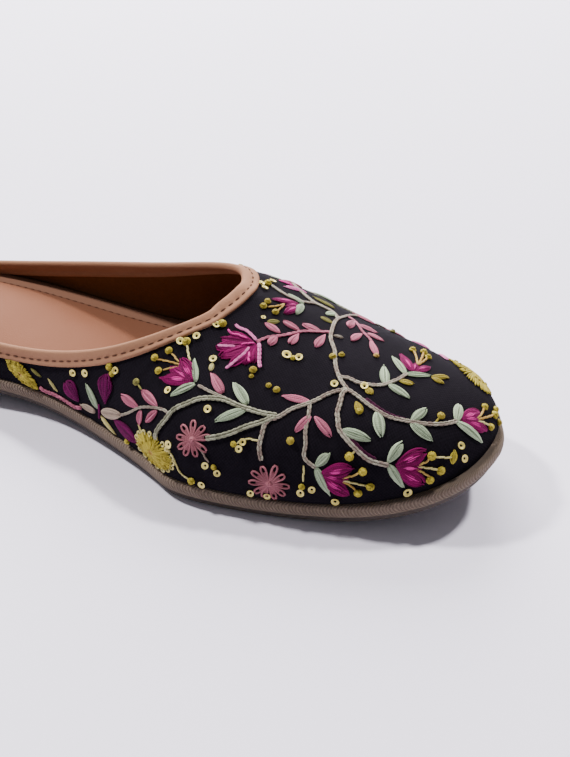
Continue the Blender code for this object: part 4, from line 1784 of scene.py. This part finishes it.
class Satin(NamedTuple):
    """How a leaf or petal is filled with threads side by side.

    span is the part of the length that is worked, and fill the part of the width. dome is the height of
    the middle threads over the outer ones; vein is how far the very middle lies below the dome, and also how
    much darker its threads are painted, as shade in that groove. taper is the power of a sine that also
    draws the threads thin at the ends of the worked part. thread is the radius over a thread's own share of
    the width, and reach how much of the length the threads cover.
    """

    strands: int = 7
    span: Place = (0.0, 1.0)
    fill: float = 1.0
    dome: float = 0.45
    taper: float = 0.0
    vein: float = 0.0
    vein_width: float = 0.22
    thread: float = 0.64
    reach: float = 0.945


VEINED_LEAF = Satin(vein=0.22)
FULL_PETAL = Satin(10)
FAN_PETAL = Satin(9, vein=0.22)
# Painted highlight: paler threads over the middle of each magenta petal stand in for the satin's sheen.
PETAL_PAINTED_SHEEN = Satin(5, (0.20, 0.78), 0.42, 0.62, 0.9)


@dataclass
class Embroidery:
    """Flowers, leaves, stems and sequins worked on the upper. Millimetres."""

    last: Last
    chain_pitch: float = 1.7
    chain_overlap: float = 1.3
    back_stitch: float = 2.4
    back_overlap: float = 1.08
    narrow_stem: float = 0.95
    stem_samples: int = 160
    slack: float = 0.09
    seed: int = 11
    sewn: dict[Hue, list[tuple[Array, ...]]] = field(default_factory=dict)
    random: np.random.Generator = field(init=False)

    def __post_init__(self) -> None:
        """Starts the seeded unevenness of the handwork."""
        self.random = np.random.default_rng(self.seed)

    def uneven(self, spread: float, *shape: int) -> Array:
        """Even random numbers between minus and plus the spread."""
        return self.random.uniform(-spread, spread, shape)

    def bed(self, feet: Array, tips: Array | None = None) -> tuple[Bed, Array]:
        """Beds at places on the upper.

        Args:
            feet: Round share and climb of each foot.
            tips: The same for each tip, or None for beds that run along the feather line.

        Returns:
            The beds, and the straight length from each foot to its tip.
        """
        span, _, normal = self.last.tangents(feet)
        start = self.last.upper(feet)
        if tips is not None:
            span = self.last.upper(tips) - start
            normal = unit(normal + self.last.tangents(tips)[2])
        along = unit(span - normal * (span * normal).sum(-1, keepdims=True))
        return Bed(start, along, np.cross(normal, along), feet), np.linalg.norm(span, axis=1)

    def sew(self, hue: Hue, spots: tuple[Array, Array], height: Array, radius: Array, shade: Array) -> None:
        """Keeps threads until all of a colour are laid together.

        Args:
            hue: The cotton.
            spots: Places on the upper to start from, and points to pass over, as Bed.spots gives them.
            height: Heights of the thread's middle over the cloth.
            radius: Thread radii.
            shade: Shades from 0 to 1: beds by threads.
        """
        near, target = spots
        shape = target.shape[:3]
        near = np.broadcast_to(near, (*shape, 2))
        height, radius = np.broadcast_to(height, shape), np.broadcast_to(radius, shape)
        parts = [part.reshape(-1, STATIONS, *part.shape[3:]) for part in (near, target, height, radius)]
        self.sewn.setdefault(hue, []).append((*parts, shade.ravel()))

    def satin(self, hue: Hue, bed: Bed, length: Array, width: Array, widest: Array, work: Satin) -> None:
        """Leaves or petals: threads side by side that swell apart and meet at both ends.

        Half the width follows the 0.6th power of sin(pi t ** widest). The threads in the middle stand higher
        on a half circle, less a bell-shaped groove for the vein, whose threads are painted darker as shade.

        Args:
            hue: The cotton.
            bed: One bed for each leaf.
            length: Lengths.
            width: Full widths.
            widest: Powers that move the widest place: above 1 towards the tip.
            work: How they are filled.
        """
        count, strands = len(length), work.strands
        length, width, widest = (size[:, None, None] for size in (length, width, widest))
        share = np.linspace(-1.0, 1.0, strands)[None, :, None]
        t = work.span[0] + (work.span[1] - work.span[0]) * ALONG
        belly = np.sin(np.pi * (0.02 + 0.95 * t) ** widest).clip(0.0) ** 0.6
        thick = work.thread * work.fill * width / strands
        a = length * t * (work.reach + self.uneven(self.slack, count, strands, 1))
        spread = share * (0.5 * width - thick) * work.fill * belly
        b = spread + self.uneven(self.slack, count, strands, 1) * belly
        groove = work.vein * np.exp(-((share / work.vein_width) ** 2))
        height = thick * 0.7 + work.dome * np.sqrt(1.0 - 0.9 * share * share) * belly - groove * belly
        height = height + self.uneven(0.06, count, strands, 1) * belly
        # Painted shade: threads in the vein's groove are darker, the others a little lighter.
        shade = 0.45 + self.uneven(0.46, count, strands) + 1.6 * (0.3 * work.vein - groove[..., 0])
        drawn = (0.04 + np.sin(np.pi * ALONG)) ** work.taper
        radius = thick * (0.45 + 0.55 * belly) * drawn.clip(0.25)
        self.sew(hue, bed.spots(a, b * drawn), height, radius, shade)

    def leaves(self, rows: tuple[Leaf, ...], work: Satin, painted_sheen: Satin | None = None) -> None:
        """Works a table of leaves or petals.

        Args:
            rows: The leaves.
            work: How they are filled.
            painted_sheen: How paler pink threads run over the middle of the magenta ones, as a painted
                highlight that stands in for the satin's sheen, or None.
        """
        for hue, (foot, tip, width, widest) in by_hue(rows):
            bed, length = self.bed(foot, tip)
            self.satin(hue, bed, length, width, widest, work)
            # Painted highlight: bright pink threads over the magenta petals stand in for the satin's sheen.
            if painted_sheen and hue is Hue.MAGENTA:
                self.satin(Hue.BRIGHT, bed, length, width, widest, painted_sheen)

    def stem(self, row: Stem) -> None:
        """One stem: links of chain stitch, two curved threads each, or single threads for a narrow one.

        The way is a cubic spline through the row's places, walked at even lengths on the upper. The two
        threads of a link part by the 0.8th power of a half sine.

        Args:
            row: The stem.
        """
        curve = Spline(np.array(row.places), closed=False)
        way = curve(np.linspace(0.0, curve.knots[-1], self.stem_samples))
        length = run(self.last.upper(way)[None], 1)[0]
        chain = row.width > self.narrow_stem
        links = max(round(length[-1] / (self.chain_pitch if chain else self.back_stitch)), 1)
        step = length[-1] / links
        starts = step * np.arange(links)[:, None]
        reach = step * (self.chain_overlap if chain else self.back_overlap)
        walked = starts + np.minimum(reach, length[-1] - starts) * ALONG
        near = pair(*(np.interp(walked, length, column) for column in way.T))
        centre = self.last.upper(near)
        _, _, normal = self.last.tangents(near)
        side = unit(np.cross(normal, np.gradient(centre, axis=1)))
        thick = (0.25 if chain else 0.5) * row.width
        swell = np.sin(np.pi * ALONG)
        if chain:
            offset = BOTH_SIDES[:, None] * ((0.5 * row.width - thick) * (0.45 + 0.55 * swell**0.8))
        else:
            offset = (ALONG[None] - 0.5) * 0.3
        target = centre[:, None] + side[:, None] * offset[None, :, :, None]
        height = row.lift + thick * (0.75 + 0.5 * ALONG)
        shade = 0.5 + self.uneven(0.42, *target.shape[:2])
        self.sew(row.hue, (near[:, None], target), height, thick * (0.75 + 0.25 * swell), shade)

    def winds(self, hue: Hue, bed: Bed, size: Array, turns: tuple[Turn, ...]) -> None:
        """Round turns of thread on beds.

        Args:
            hue: The cotton.
            bed: One bed for each knot.
            size: Full widths.
            turns: The turns of each knot.
        """
        radius, thick, rise = np.array(turns).T[:, None, :, None] * size[:, None, None]
        angle = FULL_TURN * ALONG + self.uneven(3.0, len(size), len(turns), 1)
        shade = 0.45 + self.uneven(0.25, len(size), len(turns))
        self.sew(hue, bed.spots(radius * np.cos(angle), radius * np.sin(angle)), rise, thick, shade)

    def knots(self, rows: tuple[Knot, ...]) -> None:
        """Works a table of knots.

        Args:
            rows: The knots.
        """
        for hue, (place, size) in by_hue(rows):
            self.winds(hue, self.bed(place)[0], size, knot_turns(0.19, 0.38))

    def daisy(self, row: Daisy) -> None:
        """Open loops round a knot: each loop is two threads that part and meet again, held by a short tie.

        A loop's half width is the 0.45th power of sin(pi t ** 2.2); a darker thread lies in its middle.

        Args:
            row: The daisy.
        """
        bed, _ = self.bed(np.array([row.place]))
        count, inner = row.petals, row.inner
        angle = math.radians(row.turn) + angles_round(count) + self.uneven(0.10, count)
        beds = bed.repeated(count).turned(angle)
        reach = (row.reach * (1.0 + self.uneven(0.08, count)))[:, None, None]
        loop = row.half * np.sin(np.pi * (0.02 + 0.97 * ALONG) ** 2.2) ** 0.45
        shade = 0.5 + self.uneven(0.25, count, 2)
        spots = beds.spots(inner + (reach - inner) * ALONG, BOTH_SIDES[:, None] * loop)
        self.sew(row.hue, spots, 0.34, row.thread, shade)
        shade = 0.15 + self.uneven(0.1, count, 1)
        self.sew(row.hue, beds.spots(inner + (0.66 * reach - inner) * ALONG, 0.0), 0.20, 0.40, shade)
        shade = 0.6 + self.uneven(0.2, count, 1)
        self.sew(row.hue, beds.spots(reach - 0.3 + 0.4 * ALONG, 0.0), 0.42 - 0.2 * ALONG, 0.24, shade)
        self.winds(row.hue, bed, np.array([row.knot]), knot_turns(0.22, 0.40))

    def marigold(self, row: Marigold) -> None:
        """Oval flower: two tiers of radial threads, knots, and a scalloped outline for some.

        Args:
            row: The marigold.
        """
        place = np.array([row.place])
        around, up, _ = self.last.tangents(place)
        reach = row.half[0] * np.linalg.norm(around), row.half[1] * np.linalg.norm(up)
        bed = self.bed(place)[0].turned(np.radians([row.turn]))
        for tier in MARIGOLD_RAYS:
            self.rays(bed, reach, tier)
        for ring in (*MARIGOLD_KNOTS, MARIGOLD_OUTLINE) if row.outline else MARIGOLD_KNOTS:
            self.circlet(bed, reach, ring)

    def rays(self, bed: Bed, reach: Place, tier: Rays) -> None:
        """Threads from one share of an oval's radius to another, as one fan round its middle.

        Args:
            bed: The flower's bed.
            reach: Half axes of the oval.
            tier: The threads.
        """
        angle = (angles_round(tier.count) + self.uneven(0.05, tier.count))[None, :, None]
        end = tier.high + self.uneven(0.05, 1, tier.count, 1)
        share = tier.low + (end - tier.low) * ALONG
        a, b = reach[0] * share * np.cos(angle), reach[1] * share * np.sin(angle)
        shade = 0.45 + self.uneven(0.35, 1, tier.count)
        height = tier.rise * (1.25 - 0.8 * ALONG) + 0.2
        self.sew(tier.hue, bed.spots(a, b), height, tier.thick * np.sin(np.pi * (0.15 + 0.7 * ALONG)), shade)

    def circlet(self, bed: Bed, reach: Place, ring: Circlet) -> None:
        """Knots or loops spaced round an oval.

        Args:
            bed: The flower's bed.
            reach: Half axes of the oval.
            ring: The knots.
        """
        angle = angles_round(ring.count) + self.uneven(0.5 * ring.jitter, ring.count)
        radius = ring.share + self.uneven(0.25 * ring.jitter, ring.count)
        beds = bed.repeated(ring.count)
        a, b = reach[0] * radius * np.cos(angle), reach[1] * radius * np.sin(angle)
        _, feet = beds.spots(a[:, None, None], b[:, None, None])
        beds = beds._replace(foot=feet[:, 0, 0])
        self.winds(ring.hue, beds, np.full(ring.count, ring.size), ring.turns)

    def sequins(self, rows: tuple[Sequin, ...]) -> Mesh:
        """Thin discs with a hole, cupped by the square of the radius, each tipped a little.

        Args:
            rows: The sequins.

        Returns:
            One mesh with the point attribute "shade".
        """
        count, sides, cup, stand = len(rows), 14, 0.42, 0.12
        bed, _ = self.bed(np.array([row.place for row in rows]))
        half = 0.43 * np.array([row.size for row in rows])[:, None, None]
        angle = angles_round(sides)[:, None]
        radius = np.array([0.36, 0.56, 0.80, 1.0, 1.0, 0.80, 0.56, 0.36])
        thickness = np.array([0.0, 0.0, 0.0, 0.0, 0.09, 0.13, 0.14, 0.14])
        level = cup * radius**2 + thickness + stand
        a, b = half * radius * np.cos(angle), half * radius * np.sin(angle)
        tip_a, tip_b = self.uneven(0.16, count, 2).T[..., None, None]
        height = level + a * tip_a + b * tip_b + 0.22
        normal = np.cross(bed.along, bed.across)[:, None, None]
        points = bed.spots(a, b)[1] + height[..., None] * normal
        j, k = np.meshgrid(np.arange(sides), np.arange(len(radius)), indexing="ij")
        ahead, inward = (j + 1) % sides, (k + 1) % len(radius)
        corners = [p * len(radius) + q for p, q in ((j, k), (ahead, k), (ahead, inward), (j, inward))]
        faces = np.stack(corners, axis=-1).reshape(-1, 4)
        return copies_mesh("sequins", points, faces, pair(a, b), 0.5 + self.uneven(0.45, count))

    def lay(self, hue: Hue) -> Mesh:
        """Puts one cotton's threads on the upper as tubes.

        Each station moves to the closest place of the upper and stands off along the normal by its height.

        Args:
            hue: The cotton.

        Returns:
            The mesh.
        """
        near, target, height, radius, shade = (np.concatenate(parts) for parts in zip(*self.sewn[hue]))
        place = self.last.settle(near, target)
        _, _, normal = self.last.tangents(place)
        centre = self.last.upper(place) + normal * height[..., None]
        forward = unit(np.gradient(centre, axis=1))
        side = unit(np.cross(normal, forward))
        above = np.cross(forward, side)
        turn = angles_round(TUBE_SIDES)[:, None]
        wheel = side[:, :, None] * np.cos(turn) + above[:, :, None] * np.sin(turn)
        points = centre[:, :, None] + wheel * radius[:, :, None, None]
        return tube_mesh("embroidery_" + hue.name.lower(), points, np.clip(shade, 0.0, 1.0))

    def work(self) -> None:
        """Works the whole pattern: inner side, toe, and the inner side's mirror image on the outer side."""

        def everywhere(inner: tuple, toe: tuple) -> tuple:
            """Rows of the inner side and of the toe, then the inner side's mirror image."""
            return inner + toe + flipped(inner)

        self.leaves(everywhere(INNER_LEAVES, TOE_LEAVES), VEINED_LEAF)
        self.leaves(everywhere(INNER_PETALS, TOE_PETALS), FULL_PETAL, PETAL_PAINTED_SHEEN)
        self.leaves(FAN_PETALS, FAN_PETAL)
        self.knots(everywhere(INNER_KNOTS, TOE_KNOTS))
        for stem in everywhere(INNER_STEMS, TOE_STEMS):
            self.stem(stem)
        for daisy in everywhere(INNER_DAISIES, ()):
            self.daisy(daisy)
        for flower in everywhere(INNER_MARIGOLDS, TOE_MARIGOLDS):
            self.marigold(flower)
        for hue in Hue:
            show(self.lay(hue), hue.value.material())
        show(self.sequins(everywhere(INNER_SEQUINS, TOE_SEQUINS)), Foil().material())


# ---------------------------------------------------------------- the studio


class Lamp(NamedTuple):
    """One square light aimed at the shoe: angles in degrees, lengths in metres, power in watts."""

    name: str
    azimuth: float
    height: float
    distance: float
    size: float
    power: float


@dataclass
class Studio:
    """Pale floor, soft lights and the camera. Metres, and degrees where named so."""

    azimuth: float = 22.16
    elevation: float = 32.91
    roll: float = -0.78
    distance: float = 0.4201
    focal_share: float = 1.65059
    film: float = 36.0
    shift: tuple[float, float] = (0.0864, -0.0231)
    aim: Triple = (0.155, 0.0, 0.020)
    floor_half: float = 3.0
    floor_drop: float = 0.00002
    sky: Triple = (0.95, 0.96, 1.0)
    sky_strength: float = 0.22
    tint: Triple = (1.0, 0.985, 0.99)
    lamps: tuple[Lamp, ...] = (
        Lamp("heel_lamp", 176.0, 50.0, 2.2, 0.2, 68.0),
        Lamp("outer_lamp", 56.0, 54.0, 2.2, 0.2, 60.0),
        Lamp("back_panel", 112.0, 30.0, 1.6, 1.1, 74.0),
    )

    def floor(self) -> None:
        """Large flat board under the shoe: a grid of two by two cells."""
        steps = np.linspace(-self.floor_half, self.floor_half, 3)
        y, x = np.meshgrid(steps, steps, indexing="ij")
        points = np.stack([x, y, np.full(x.shape, -self.floor_drop)], axis=-1).reshape(-1, 3)
        mesh = raw_mesh("studio_floor", points, quads(3, 3), points[:, :2], "board")
        mesh.materials.append(PaleFloor().material())
        board = bpy.data.objects.new("studio_floor", mesh)
        bpy.context.scene.collection.objects.link(board)

    def camera(self) -> None:
        """Camera on a sphere round the aim point, turned by the roll."""
        az, el, roll = (math.radians(v) for v in (self.azimuth, self.elevation, self.roll))
        back = np.array([math.sin(az) * math.cos(el), -math.cos(az) * math.cos(el), math.sin(el)])
        level = np.array([math.cos(az), math.sin(az), 0.0])
        upright = np.cross(back, level)
        right = level * math.cos(roll) + upright * math.sin(roll)
        above = upright * math.cos(roll) - level * math.sin(roll)
        turned = np.eye(4)
        turned[:3, :3] = np.stack([right, above, back], axis=1)
        turned[:3, 3] = np.array(self.aim) - ORIGIN * MM + back * self.distance
        data = bpy.data.cameras.new("view_camera")
        data.lens = self.film * self.focal_share
        data.shift_x, data.shift_y = self.shift
        data.clip_start = 0.01
        camera = bpy.data.objects.new("view_camera", data)
        camera.matrix_world = Matrix(turned.tolist())
        bpy.context.scene.collection.objects.link(camera)
        bpy.context.scene.camera = camera

    def lights(self) -> None:
        """Even sky and the soft lamps, each turned to look at the shoe."""
        world = bpy.data.worlds.new("studio_sky")
        world.use_nodes = True
        sky = world.node_tree.nodes["Background"]
        sky.inputs["Color"].default_value = (*self.sky, 1.0)
        sky.inputs["Strength"].default_value = self.sky_strength
        bpy.context.scene.world = world
        for lamp in self.lamps:
            data = bpy.data.lights.new(lamp.name, "AREA")
            data.size, data.energy, data.color = lamp.size, lamp.power, self.tint
            light = bpy.data.objects.new(lamp.name, data)
            turn, rise = math.radians(lamp.azimuth), math.radians(lamp.height)
            level = lamp.distance * math.cos(rise)
            place = Vector((level * math.cos(turn), level * math.sin(turn), lamp.distance * math.sin(rise)))
            light.location = place
            light.rotation_euler = (-place).to_track_quat("-Z", "Y").to_euler()
            bpy.context.scene.collection.objects.link(light)


def main() -> None:
    """Builds the shoe from the sole up, then the studio."""
    logging.basicConfig(level=logging.INFO)
    last = Last()
    sole, sock, vamp, collar = Sole(last), Sock(last), Vamp(last), Collar(last)
    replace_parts(sole.rand(), "midsole_rand")
    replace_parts(sole.outsole(), "outsole")
    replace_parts(sock.pad(), "insole")
    sock.stitches()
    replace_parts(vamp.cover(), "upper")
    vamp.lining()
    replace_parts(collar.strip(), "collar_binding")
    collar.stitches()
    Embroidery(last).work()
    studio = Studio()
    studio.floor()
    studio.lights()
    studio.camera()


if __name__ == "__main__":
    main()
